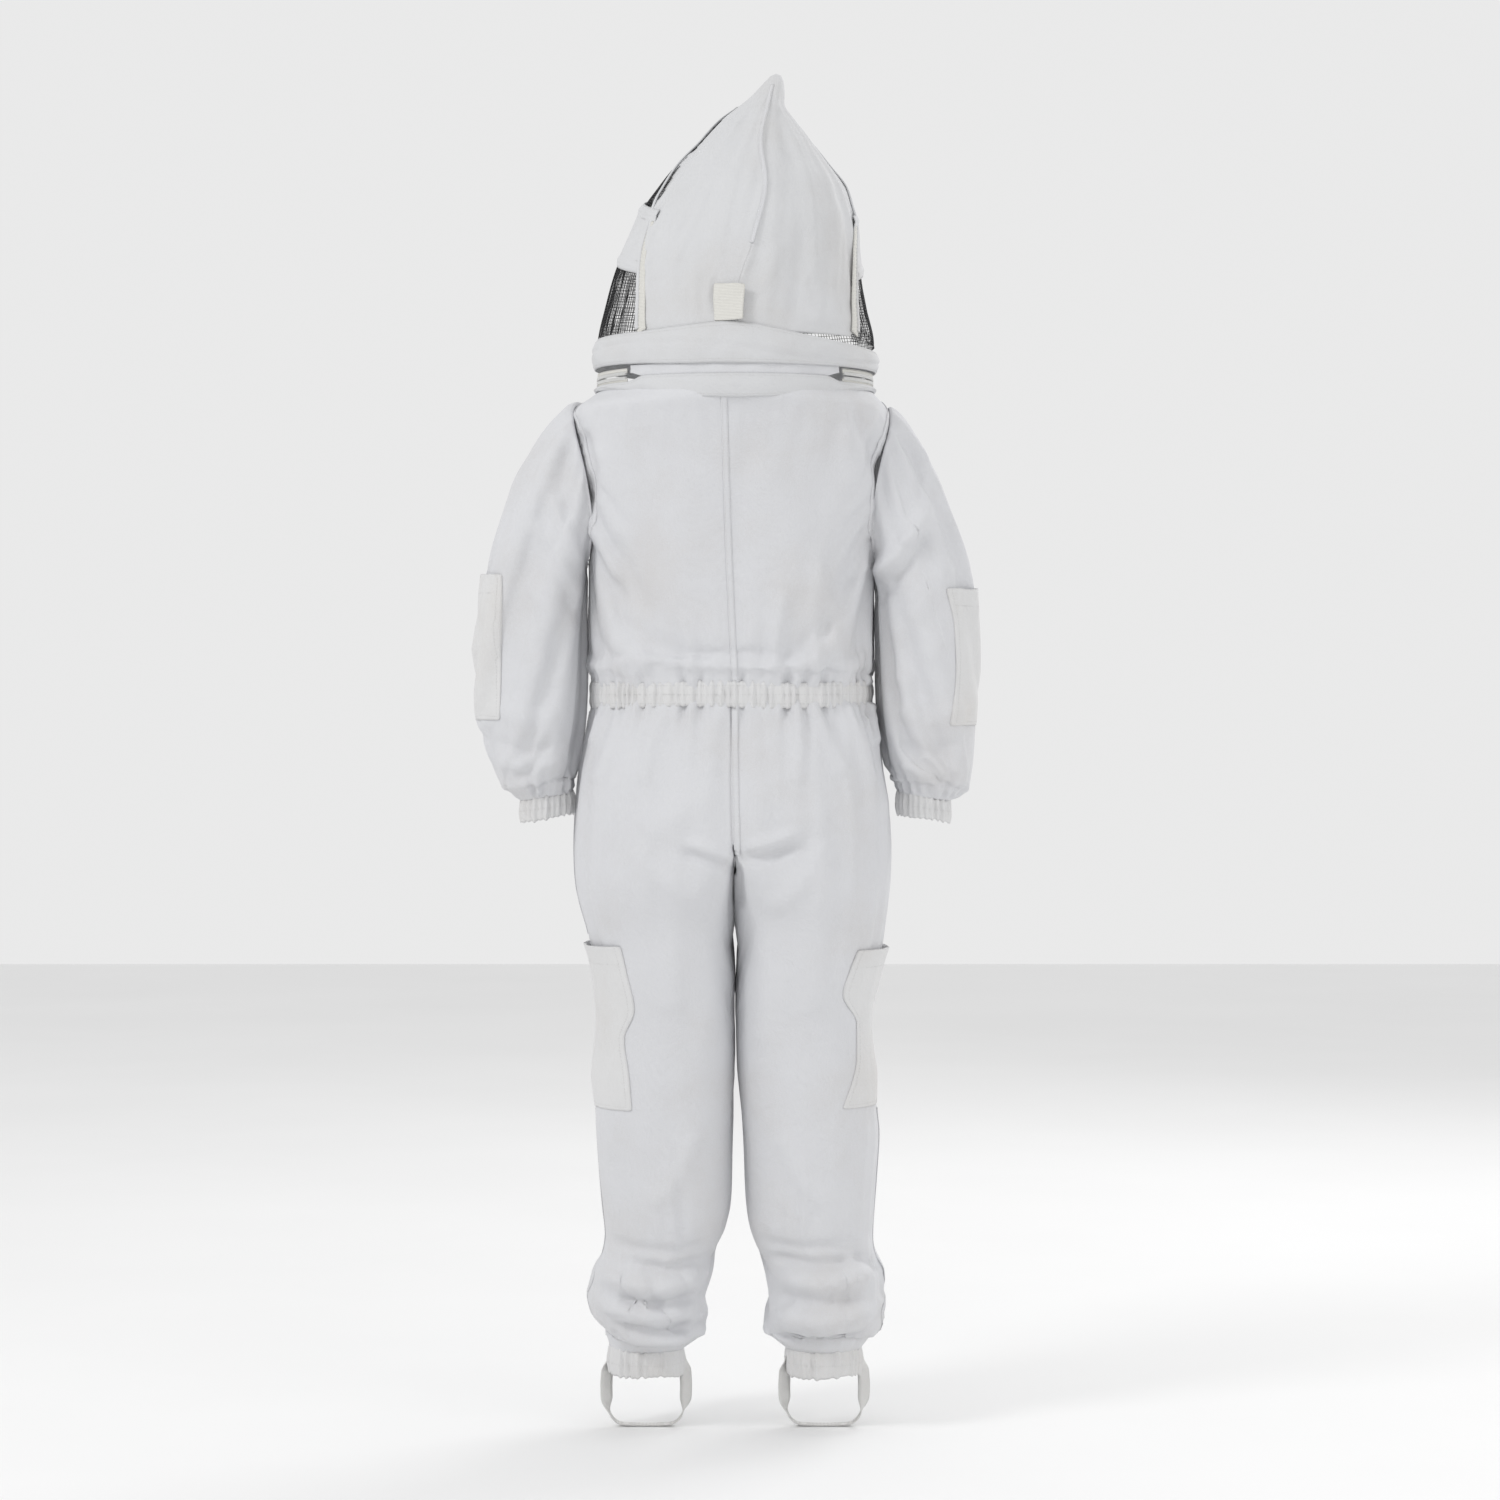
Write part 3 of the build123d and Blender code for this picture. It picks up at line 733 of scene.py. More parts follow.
def build_coverall():
    """One skin from the collar to both ankles. Material 0 is the upper body, 1 and 2 are
    the left and right trouser halves."""
    shape = profiles(BODY)
    around = 2 * HALF
    points, faces, region = [], [], []
    for z in BODY_ROWS:
        ring = body_ring([float(f(z)) for f in shape])
        points += [(x, y, z) for x, y in ring]
    rows = len(BODY_ROWS)
    for face in grid_faces(rows, around, True):
        faces.append(face[::-1])
        row, column = divmod(face[0], around)
        region.append(0 if BODY_ROWS[row] > WAIST_Z else (1 if column < HALF else 2))
    hip_start = (rows - 1) * around
    hip = np.array(points[hip_start:])
    crotch_start = len(points)
    left = leg_rings(LEG_LEFT, hip[:, :2])
    mirror_top = np.array([(-x, y) for x, y in np.roll(hip[::-1, :2], 1, axis=0)])
    right = [ring * (-1, 1, 1) for ring in leg_rings(LEG_RIGHT, mirror_top)]
    points += [tuple(p) for p in left[0][HALF + 1:]]
    crotch = list(range(crotch_start, len(points)))
    left_first = [hip_start + i for i in range(HALF + 1)] + crotch
    right_first = [hip_start + (around - i) % around for i in range(HALF + 1)] + crotch
    for first, rings, side in ((left_first, left, 1), (right_first, right, 2)):
        above = first
        for ring in rings[1:]:
            below = list(range(len(points), len(points) + len(ring)))
            points += [tuple(p) for p in ring]
            for i in range(len(ring)):
                j = (i + 1) % len(ring)
                quad = (above[i], below[i], below[j], above[j])
                faces.append(quad if side == 1 else quad[::-1])
                region.append(side)
            above = below
    points = np.array(points)
    faces_kept, region_kept = [], []
    cy, cz, depth, height = ARMHOLE
    for face, part in zip(faces, region):
        x, y, z = points[list(face)].mean(axis=0)
        in_armhole = ((y - cy) / (depth * 0.93)) ** 2 + ((z - cz) / (height * 0.95)) ** 2 < 1
        in_slot = abs(x) < 6.5 and y < -60 and 641 < z < 1098
        if (abs(x) > 100 and z > 900 and in_armhole) or in_slot:
            continue
        faces_kept.append(face)
        region_kept.append(part)
    made = mesh_object("coverall", points, faces_kept)
    for number in range(3):
        made.data.materials.append(bpy.data.materials.new(f"region{number}"))
    made.data.polygons.foreach_set("material_index", region_kept)
    drop_loose(made)
    return made


BACK_FOLDS = [
    # gathers that fall from the waist elastic and rise from it
    (4, 8, -40, 806, -44, 850, -52, 905), (4.5, 9, -84, 806, -82, 870, -90, 940),
    (4, 8, -111, 806, -104, 860, -96, 905), (2.6, 9, 40, 806, 48, 850, 70, 900),
    (3, 9, 95, 806, 100, 840, 112, 890), (3, 8, 120, 806, 128, 850, 134, 900),
    (5, 10, -116, 774, -140, 725, -158, 655), (4, 8, -88, 774, -105, 735, -118, 700),
    (3, 9, -60, 774, -66, 735, -64, 690), (2.5, 9, 20, 774, 26, 735, 24, 700),
    (3.5, 9, 75, 774, 88, 740, 100, 690), (4, 9, 118, 774, 132, 735, 148, 690),
    (4, 6, -138, 768, -150, 735), (3.5, 6, 140, 768, 152, 735),
    # creases that run down and inwards from the armholes
    (-5, 9, 165, 1075, 150, 1030, 158, 985), (4, 13, 150, 1060, 132, 1000, 120, 940),
    (5, 10, 160, 985, 140, 940, 118, 905), (-4.5, 8, 158, 962, 136, 920, 110, 885),
    (-5, 9, -128, 1095, -146, 1050, -160, 1010), (4, 13, -112, 1080, -128, 1030, -136, 975),
    (5, 10, -160, 990, -150, 950, -140, 915), (-4, 8, -150, 965, -132, 925, -108, 900),
    # broad drape of the back
    (3.5, 24, -20, 1050, -60, 960, -70, 880), (3, 26, 40, 1040, 60, 950, 66, 880),
    (-2, 14, -8, 1060, -4, 960, 0, 830),
    # seat
    (6, 7, -10, 626, -40, 636, -66, 645), (-5, 6, -8, 618, -40, 624, -70, 634),
    (5, 7, 0, 617, 28, 628, 50, 634), (-4, 6, 2, 608, 30, 617, 56, 626),
    (-3, 7, -6, 640, -4, 600, -3, 560), (3, 18, 20, 700, 60, 660, 100, 640),
    (3, 18, -20, 700, -60, 665, -104, 650), (3.5, 12, -100, 640, -70, 590, -30, 560),
    (3, 12, 110, 630, 70, 590, 30, 570),
    # long folds down the legs
    (3, 18, 60, 590, 64, 520, 70, 440), (2.6, 12, 30, 560, 26, 480, 30, 400),
    (3, 12, -30, 570, -34, 490, -30, 400), (3, 18, -80, 590, -78, 520, -84, 440),
    (3, 12, 40, 330, 60, 280, 90, 240), (3, 12, -45, 330, -64, 285, -100, 240),
    # sacks of cloth over the ankle elastics
    (-4, 7, 22, 205, 60, 196, 110, 200, 138, 206), (-7, 7, 28, 186, 70, 178, 120, 188),
    (7, 10, 34, 168, 80, 158, 120, 164, 152, 172), (-6, 6, 36, 148, 80, 141, 130, 148),
    (6, 9, 40, 134, 80, 127, 120, 132, 148, 138), (-7, 5, 40, 116, 84, 112, 136, 118),
    (5, 7, 44, 102, 90, 99, 134, 104), (-4, 7, -26, 205, -70, 200, -120, 204, -142, 210),
    (-7, 7, -34, 188, -80, 184, -130, 188), (7, 11, -44, 168, -90, 162, -130, 168, -158, 172),
    (-4, 7, -40, 148, -90, 144, -140, 150), (8, 13, -38, 128, -90, 122, -130, 128, -154, 134),
    (-7, 5, -40, 104, -90, 100, -142, 106), (-5, 5, -128, 196, -146, 180, -154, 165)]
FRONT_FOLDS = [
    (4, 9, 50, 806, 56, 860, 70, 920), (4, 9, -50, 806, -58, 860, -72, 920),
    (4, 9, 95, 806, 104, 860, 112, 910), (4, 9, -95, 806, -104, 860, -112, 910),
    (4, 9, 40, 774, 48, 730, 60, 690), (4, 9, -40, 774, -50, 730, -64, 690),
    (4.5, 9, 90, 774, 108, 730, 120, 690), (4.5, 9, -90, 774, -108, 730, -120, 690),
    (4.5, 12, 150, 1050, 130, 990, 112, 940), (4.5, 12, -150, 1050, -130, 990, -112, 940),
    (4, 12, 0, 628, 50, 640, 100, 660), (4, 12, 0, 622, -50, 636, -100, 656),
    (-6, 7, 0, 640, 0, 600, 0, 560), (3.5, 14, 60, 420, 80, 360, 100, 330),
    (3.5, 14, -60, 420, -84, 360, -104, 330), (-7, 7, 28, 190, 70, 180, 120, 190),
    (7, 11, 34, 168, 80, 158, 152, 172), (-6, 6, 36, 146, 80, 139, 130, 146),
    (7, 11, 40, 126, 90, 118, 148, 126), (-6, 5, 40, 104, 84, 100, 136, 106),
    (-7, 7, -34, 190, -80, 180, -130, 190), (7, 12, -44, 166, -90, 158, -158, 170),
    (-5, 6, -40, 146, -90, 140, -140, 148), (7, 12, -38, 126, -90, 119, -152, 128),
    (-6, 5, -40, 104, -90, 100, -142, 106)]


def waist_ruching(points, out):
    """Gathers that leave the waist elastic upwards and downwards, tighter on the right."""
    angle = np.arctan2(points[:, 1] + 8, points[:, 0])
    around = 2 * math.pi * 130
    along = angle * 130
    gap = np.abs(points[:, 2] - WAIST_Z) - WAIST_HALF
    near = np.exp(-np.maximum(gap, 0) / 16) * smoothstep(-8, 2, gap)
    far = np.exp(-np.maximum(gap, 0) / 42) * smoothstep(-8, 6, gap)
    right = 1 + 0.9 * smoothstep(-60, -120, points[:, 0])
    above = np.where(points[:, 2] > WAIST_Z, 0.8, 1.0)
    tight = random_waves(along, around, 15, 0.35, 11)
    loose = random_waves(along, around, 34, 0.5, 12)
    return (2.3 * near * tight + 2.8 * far * loose) * right * above * (np.abs(out[:, 2]) < 0.8)


def finish_coverall():
    """Settle the cloth, add its folds, and cut it into its sewn parts."""
    skin = build_coverall()
    points = coordinates(skin)
    z = points[:, 2]
    pinned = np.maximum.reduce([
        1 - smoothstep(0, 14, np.abs(z - WAIST_Z) - WAIST_HALF), 1 - smoothstep(86, 100, z),
        smoothstep(1085, 1098, z), rim(skin).astype(float)])
    calm = 1 - 0.65 * smoothstep(230, 300, z) * (1 - smoothstep(760, 800, z))
    wrinkle(skin, pinned, gain=calm[:, None])
    subdivide(skin, 1)
    points, out = coordinates(skin), normals(skin)
    height = fold_field(points, out, BACK_FOLDS, 1) + fold_field(points, out, FRONT_FOLDS, -1)
    height *= 1.25
    height += waist_ruching(points, out)
    held = smoothstep(86, 92, points[:, 2]) * (1 - smoothstep(1094, 1100, points[:, 2]))
    flat_front = 1 - np.exp(-(points[:, 0] / 22) ** 2) * (points[:, 1] < -60) * (points[:, 2] > 636)
    moved = points + out * (height * held * flat_front)[:, None]
    inner_back = ((points[:, 1] > 0) & (points[:, 2] < 600) & (points[:, 2] > 210)
                  & (points[:, 0] > 0))
    moved[inner_back, 0] = np.maximum(moved[inner_back, 0], 0.6)
    set_coordinates(skin, moved)
    return split(skin, ("upper_body", "trousers_left", "trousers_right"))


coverall, (upper_body, trousers_left, trousers_right) = finish_coverall()
for part in (upper_body, trousers_left, trousers_right):
    thicken(part, PANEL_WALL)
place(upper_body, "suit", CLOTH, "cloth", "back_panel_left", "back_panel_right",
      "front_panel_left", "front_panel_right")
place(trousers_left, "suit", CLOTH, "cloth", "trouser_back_left", "trouser_front_left")
place(trousers_right, "suit", CLOTH, "cloth", "trouser_back_right", "trouser_front_right")


# ---------------------------------------------------------------- sleeves

SLEEVE_COLUMNS = 72
SLEEVE_FOLDS_LEFT = [
    (-3.5, 8, 176, 1060, 182, 1010, 176, 965), (6, 11, 216, 980, 190, 930, 170, 885),
    (-5, 7, 206, 960, 186, 915, 168, 868), (5, 8, 196, 1005, 178, 960, 166, 925),
    (3.5, 14, 250, 950, 214, 900, 180, 860), (3, 14, 230, 860, 205, 820, 180, 800),
    (4, 12, 258, 780, 220, 760, 185, 770), (-3.5, 8, 262, 742, 225, 728, 180, 738),
    (4, 8, 256, 722, 215, 712, 178, 720), (-3, 5, 236, 706, 205, 716)]
SLEEVE_FOLDS_RIGHT = [
    (3.5, 6, -166, 1090, -201, 1044, -207, 996), (-4, 6, -172, 1076, -196, 1030, -200, 990),
    (7, 10, -207, 986, -175, 950, -152, 915), (-5.5, 7, -206, 966, -178, 925, -156, 890),
    (5, 9, -201, 978, -175, 935, -146, 915), (3.5, 14, -236, 940, -200, 890, -165, 850),
    (3, 14, -220, 850, -190, 815, -165, 800), (4, 12, -250, 776, -205, 762, -165, 775),
    (-3.5, 8, -252, 742, -205, 728, -168, 738), (4, 8, -248, 716, -205, 706, -172, 716)]
BODY_SHAPE = profiles(BODY)


def torso_x(side, y, z):
    """How far out the upper body's drawn surface is at a y and z."""
    left, right, front, back, power = [float(f(z)) for f in BODY_SHAPE]
    cx, cy = (left + right) / 2, (front + back) / 2
    out = 1 - min(1.0, abs((y - cy) / ((back - front) / 2)) ** power)
    return cx + side * (left - right) / 2 * out ** (1 / power)


def build_sleeve(side, table, name):
    """A sleeve whose rings fan out round the armpit and then run level down the arm."""
    places = [i / (len(table) - 1) for i in range(len(table))]
    shape = [profile(places, column) for column in zip(*table)]
    angle = np.linspace(0, 2 * math.pi, SLEEVE_COLUMNS, endpoint=False)
    cy, _, depth, _ = ARMHOLE
    rows = []
    for t in np.linspace(0, 1, 84):
        ox, oz, ix, iz, half_depth = [float(f(t)) for f in shape]
        across = power_sign(np.cos(angle), 2 / 2.15)
        y = half_depth * power_sign(np.sin(angle), 2 / 2.15)
        ring = np.stack([side * ((ox + ix) / 2 + (ox - ix) / 2 * across), y,
                         (oz + iz) / 2 + (oz - iz) / 2 * across], axis=1)
        seam = 1 - smoothstep(0.0, 0.16, t)
        if seam > 0:
            top, foot = table[0][1], table[0][3]
            seam_z = (top + foot) / 2 + (top - foot) / 2 * np.cos(angle)
            seam_y = cy + depth * np.sin(angle)
            seam_x = np.array([torso_x(side, b, c) for b, c in zip(seam_y, seam_z)])
            edge = np.stack([seam_x + side * (1.2 + 60 * t), seam_y, seam_z], axis=1)
            ring = ring * (1 - seam) + edge * seam
        rows.append(ring)
    points = np.concatenate(rows)
    faces = grid_faces(len(rows), SLEEVE_COLUMNS, True)
    return mesh_object(name, points, faces if side > 0 else [f[::-1] for f in faces])


def finish_sleeve(side, table, folds, name):
    skin = build_sleeve(side, table, name)
    face_outwards(skin)
    points = coordinates(skin)
    pinned = np.maximum(rim(skin).astype(float), 1 - smoothstep(684, 696, points[:, 2]))
    wrinkle(skin, pinned, growth=0.05, frames=22, cap=7.0, rounds=30)
    subdivide(skin, 1)
    points, out = coordinates(skin), normals(skin)
    height = fold_field(points, out, folds, 1)
    height += fold_field(points, out, folds, -1, lift=6)
    around = 2 * math.pi * 45
    angle = np.arctan2(points[:, 1], np.abs(points[:, 0]) - 208)
    ruched = np.exp(-np.maximum(points[:, 2] - 684, 0) / 16) * (points[:, 2] < 760)
    height += 1.6 * ruched * random_waves(angle * 45, around, 16, 0.4, 21 + side)
    held = smoothstep(680, 688, points[:, 2])
    points = points + out * (height * held)[:, None]
    points[:, 2] -= (CUFF_TILT * (side * points[:, 0] - WRIST_X)
                     * (1 - smoothstep(682, 740, points[:, 2])))
    set_coordinates(skin, points)
    return skin, Surface(skin)


def sleeve_blend(obj):
    """Bake a piece's placement into its mesh; the piece is attached to no body."""
    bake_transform(obj)


def sleeve_pieces(side, table, folds):
    hand = "left" if side > 0 else "right"
    skin, surface = finish_sleeve(side, table, folds, "sleeve_" + hand + "_cloth")
    thicken(skin, PANEL_WALL)
    place(skin, None, CLOTH, "cloth", "sleeve_" + hand)
    sleeve_blend(skin)
    return surface


arm_left = sleeve_pieces(1, SLEEVE_LEFT, SLEEVE_FOLDS_LEFT)
arm_right = sleeve_pieces(-1, SLEEVE_RIGHT, SLEEVE_FOLDS_RIGHT)


# ---------------------------------------------------------------- bands and cuffs

def ruched_band(name, ring, rise, columns, rows, waves, height, crown, gap=None):
    """A band round a closed line: gathered by its elastic, with a scalloped edge. ring gives
    points in plan and their outward normals, rise the band's lower and upper edges."""
    places, out = ring(columns)
    lengths = np.r_[0, np.cumsum(np.hypot(*np.diff(np.r_[places, places[:1]], axis=0).T))]
    along, around = lengths[:-1], lengths[-1]
    rng_waves = sum(np.asarray(random_waves(along, around, w, 0.3, seed)) * share
                    for w, share, seed in waves)
    low, high = rise
    points = []
    for row in range(rows):
        v = row / (rows - 1)
        puff = crown * math.sin(math.pi * v) ** 0.6
        deep = height * (0.45 + 0.55 * math.sin(math.pi * v))
        for i in range(columns):
            off = 1.3 + puff + deep * rng_waves[i] * (1 + 0.25 * math.sin(9 * v + i))
            x, y = places[i] + out[i] * max(off, 0.6)
            edge = 0.7 * rng_waves[i] * (2 * v - 1)
            points.append((x, y, low(x, y) + (high(x, y) - low(x, y)) * v + edge))
    faces = grid_faces(rows, columns, True)
    if gap:
        points_array = np.array(points)
        faces = [f for f in faces if not gap(points_array[list(f)].mean(axis=0))]
    made = mesh_object(name, points, faces)
    drop_loose(made)
    face_outwards(made)
    thicken(made, 0.8)
    return made


def plan_ring(widths, turn=0.0, inset=0.0):
    """A function giving evenly spaced points of a section in plan, and outward normals."""
    def ring(count):
        flat = section_ring(widths, count)
        middle = np.array([(widths[0] + widths[1]) / 2, (widths[2] + widths[3]) / 2])
        spin = np.array([[math.cos(turn), -math.sin(turn)], [math.sin(turn), math.cos(turn)]])
        flat = (flat - middle) @ spin.T + middle
        ahead = np.roll(flat, -1, axis=0) - np.roll(flat, 1, axis=0)
        out = np.stack([ahead[:, 1], -ahead[:, 0]], axis=1)
        out /= np.linalg.norm(out, axis=1)[:, None]
        return flat - out * inset, out
    return ring


def level(z):
    return lambda x, y: z


def at_zip(centre):
    return abs(centre[0]) < ZIP_HALF - 3 and centre[1] < 0


waist_widths = [float(f(WAIST_Z)) for f in BODY_SHAPE]
waist_band = ruched_band(
    "waist_band", plan_ring(waist_widths),
    (lambda x, y: 776.5 + 1.2 * math.sin(x / 31), lambda x, y: 803.5 + 1.2 * math.sin(x / 27 + 1)),
    760, 11, ((8, 0.8, 31), (13, 0.45, 34)), 1.5, 1.2, at_zip)
place(waist_band, "suit", POCKET, "cloth", "waist_casing")
waist_elastic = ruched_band("waist_elastic_band", plan_ring(waist_widths, inset=4.2),
                            (level(779), level(801)), 260, 4, ((14, 0.3, 33),), 0.2, 0.1, at_zip)
place(waist_elastic, "suit", ELASTIC, "elastic", "waist_elastic")


def waist_stitching():
    """Rows of thread where the elastic is sewn down."""
    surface = Surface(waist_band)
    runs = []
    for z in (780.5, 790, 799.5):
        line = []
        places, out = plan_ring(waist_widths)(420)
        for (x, y), (nx, ny) in zip(places, out):
            if not at_zip((x, y)):
                line.append(surface.from_side((x, y, z), (-nx, -ny, 0)))
        begin = next(i for i in range(len(line)) if line[i][0][1] < 0
                     and np.linalg.norm(line[i][0] - line[i - 1][0]) > 12)
        line = line[begin:] + line[:begin]
        runs.append(stitches(f"waist_stitch_{int(z)}", line, 3.6, 2.5, 0.6, 0.4))
    return join("waist_stitching", runs)


place(waist_stitching(), "suit", THREAD, "cloth")


def elastic_cuff(limb, hand, body, widths, edges, shape, inner, thread):
    """A gathered cuff, the elastic inside it, and the row of thread that holds it."""
    plan = plan_ring(widths)
    cuff = ruched_band(f"{limb}_cuff_{hand}_cloth", plan, edges, *shape)
    place(cuff, body, POCKET, "cloth", f"{limb}_cuff_{hand}")
    inset, inner_edges, columns, seed = inner
    band = ruched_band(f"{limb}_elastic_{hand}_band", plan_ring(widths, inset=inset),
                       inner_edges, columns, 4, ((12, 0.3, seed),), 0.15, 0.1)
    place(band, body, ELASTIC, "elastic", f"{limb}_elastic_{hand}")
    height, count, sewing = thread
    surface = Surface(cuff)
    line = [surface.from_side((x, y, height(x, y)), (-nx, -ny, 0))
            for (x, y), (nx, ny) in zip(*plan(count))]
    place(stitches(f"{limb}_stitching_{hand}", line + line[:1], *sewing), body, THREAD, "cloth")


for side, hand in SIDES:
    middle, radius = side * ANKLE_X, 38.5
    elastic_cuff(
        "ankle", hand, "suit", (middle + radius, middle - radius, -radius, radius, 2.0),
        (lambda x, y: 57.5 + 1.5 * math.sin(x / 17 + y / 13),
         lambda x, y: 87.5 + 2.0 * math.sin(x / 15 - y / 19)),
        (260, 13, ((8, 0.8, 41 + side), (15, 0.6, 44 + side)), 1.1, 1.6),
        (3.6, (level(61), level(82)), 120, 45), (level(71), 200, (3.4, 2.3, 0.55, 0.35)))

    def lean(x):
        return -CUFF_TILT * (side * x - WRIST_X)

    middle, radius = side * WRIST_X, 26.8
    elastic_cuff(
        "wrist", hand, "sleeve_" + hand, (middle + radius, middle - radius, -radius, radius, 2.0),
        (lambda x, y: 656.5 + lean(x) + 0.8 * math.sin(x / 9),
         lambda x, y: 681.5 + lean(x) + 0.8 * math.sin(x / 8)),
        (200, 11, ((7, 0.8, 51 + side), (12, 0.6, 54 + side)), 1.1, 1.2),
        (3.4, (lambda x, y: 660 + lean(x), lambda x, y: 677 + lean(x)), 90, 55),
        (lambda x, y: 668.5 + lean(x), 150, (3.2, 2.2, 0.5, 0.35)))


# ---------------------------------------------------------------- pockets

def wrapped_grid(surface, centre, levels, edges, columns):
    """Placed points round the outside of a limb, from its back edge to its front edge."""
    grid = []
    for z in levels:
        ends = []
        for edge, sight in zip(edges, (ONTO_BACK, ONTO_FRONT)):
            spot, _ = surface.from_side((edge(z), 0, z), sight)
            ends.append(math.atan2(spot[1] - centre[1], abs(spot[0]) - centre[0]))
        row = []
        for t in np.linspace(0, 1, columns):
            angle = ends[0] + (ends[1] - ends[0]) * t
            side = 1 if edges[0](z) > 0 else -1
            direction = (-side * math.cos(angle), -math.sin(angle), 0)
            row.append(surface.from_side((side * centre[0], centre[1], z), direction))
        grid.append(row)
    return grid


def patch(name, grid, puff, mouth, seed):
    """A patch pocket on placed points; row 0 is its open top."""
    rows, columns = len(grid), len(grid[0])
    rng = np.random.default_rng(seed)
    phase = rng.uniform(0, 2 * math.pi, 6)
    points = []
    for r in range(rows):
        v = r / (rows - 1)
        for c in range(columns):
            u = c / (columns - 1)
            inside = min(1, 6 * u) * min(1, 6 * (1 - u))
            bulge = math.sin(math.pi * u) ** 0.7
            gape = mouth * math.exp(-v * 6) * bulge
            body = puff * bulge * min(1, 5 * (1 - v)) ** 0.7
            crease = (0.9 * math.sin(9 * u + 7 * v + phase[0]) * math.sin(5 * v + phase[1])
                      + 0.6 * math.sin(17 * u - 5 * v + phase[2])) * inside * min(1, 5 * (1 - v))
            place_, normal = grid[r][c]
            points.append(place_ + normal * (1.1 + gape + body + crease * 0.8))
    made = mesh_object(name, points, grid_faces(rows, columns, False))
    with mesh_edit(made) as work:
        middle_out = Vector(grid[rows // 2][columns // 2][1])
        if sum(f.normal.dot(middle_out) for f in work.faces) < 0:
            bmesh.ops.reverse_faces(work, faces=work.faces)
    subdivide(made, 1)
    surface = Surface(made)
    thicken(made, 1.0)
    return made, surface


def pocket_stitching(name, surface, grid):
    """Thread just inside the two sides and the bottom, and along the top hem."""
    rows, columns = len(grid), len(grid[0])
    border = ([(r, 1) for r in range(rows - 1)] + [(rows - 2, c) for c in range(1, columns - 1)]
              + [(r, columns - 2) for r in range(rows - 2, -1, -1)])
    hem = [(max(2, rows // 8), c) for c in range(1, columns - 1)]
    runs = []
    for part_name, run in (("_1", border), ("_hem", hem)):
        line = [surface.nearest(grid[r][c][0] + grid[r][c][1] * 6) for r, c in run]
        runs.append(stitches(name + part_name, line, *SEWING))
    return join(name, runs)


def add_pocket(kind, hand, grid, puff, mouth, seed, blend_side=0):
    """A pocket and its thread, attached to the suit, or laid on the sleeve of one side and attached
    to no body.
    """
    name = f"{kind}_pocket_{hand}"
    cloth, skin = patch(name + "_cloth", grid, puff, mouth, seed)
    body = None if blend_side else "suit"
    place(cloth, body, POCKET, "pocket_cloth", name)
    thread = pocket_stitching(f"{kind}_pocket_stitching_{hand}", skin, grid)
    place(thread, body, THREAD, "pocket_cloth")
    if blend_side:
        sleeve_blend(cloth)
        sleeve_blend(thread)


def line_of(points):
    """x as a smooth function of z."""
    return profile([z for _, z in points], [x for x, _ in points])


THIGH_EDGES = {
    "left": [(109, 347), (112, 385), (117, 424), (106, 456), (113, 492), (120, 524)],
    "right": [(-114, 349), (-129, 403), (-129, 440), (-114, 472), (-121, 498), (-130, 521)]}
ARM_EDGES = {
    "left": [(250, 762), (249, 800), (248, 850), (247, 905)],
    "right": [(-227, 750), (-235, 816), (-233, 864), (-224, 902)]}

THIGH_HEIGHTS = {"left": (524, 348), "right": (520, 350)}
ARM_HEIGHTS = {"left": (918, 763), "right": (903, 757)}
ARM_MIDDLE = {"left": (208, 244), "right": (200, 232)}      # the arm's middle and its front edge

for side, hand in SIDES:
    grid = wrapped_grid(coverall, (76, 0), np.linspace(*THIGH_HEIGHTS[hand], 46),
                        (line_of(THIGH_EDGES[hand]), lambda z: side * 113), 30)
    add_pocket("thigh", hand, grid, 2.6, 5.0, 61 + side)
    middle, front_edge = ARM_MIDDLE[hand]
    grid = wrapped_grid(arm_left if side > 0 else arm_right, (middle, 0),
                        np.linspace(*ARM_HEIGHTS[hand], 40),
                        (line_of(ARM_EDGES[hand]), lambda z: side * front_edge), 24)
    add_pocket("arm", hand, grid, 1.8, 3.2, 65 + side, side)
    grid = [[coverall.from_side((x, 0, z), ONTO_FRONT) for x in np.linspace(36, 118, 28) * side]
            for z in np.linspace(1015, 905, 36)]
    add_pocket("chest", hand, grid, 1.8, 3.0, 68 + side)


# ---------------------------------------------------------------- seams of the coverall

def felled_seam(name, placed, width=7.0, rise=0.7, body="suit"):
    """A flat seam with a row of thread along each side."""
    place(ribbon(name, placed, width, rise, 0.1, 0.25), body, CLOTH, "cloth")
    raised = [(p + n * (0.1 + rise * 1.05), n) for p, n in placed]
    rows = [stitches(f"{name}_thread_{number}", raised, 3.2, 2.2, 0.5, 0.4, side * width * 0.33)
            for number, side in enumerate((-1, 1))]
    place(join(name + "_stitching", rows), body, THREAD, "cloth")


felled_seam("centre_back_seam_upper",
            laid(coverall, [(11, 1101), (7, 960), (0, 805)], ONTO_BACK))
felled_seam("centre_back_seam_lower",
            laid(coverall, [(0, 775), (-1, 700), (-3, 622)], ONTO_BACK))
felled_seam("centre_front_seam", laid(coverall, [(0, 632), (0, 618)], ONTO_FRONT), 5)
for side, hand in SIDES:
    for part_name, heights in (("side_seam_upper_", range(895, 806, -6)),
                               ("side_seam_hip_", range(772, 528, -6)),
                               ("side_seam_shin_", range(345, 96, -6))):
        placed = [coverall.from_side((side * 90, 2, z), (-side, 0, 0)) for z in heights]
        felled_seam(part_name + hand, placed, 5.5, 0.6)
    seam_line = []
    cy, cz, depth, height = ARMHOLE
    for angle in np.linspace(-2.2, 2.2, 74):
        y = cy + depth * math.sin(angle)
        z = cz + height * math.cos(angle)
        seam_line.append(coverall.nearest((torso_x(side, y, z) - side * 3, y * 1.04, z + 3)))
    felled_seam("armhole_seam_" + hand, seam_line, 5, 0.6)


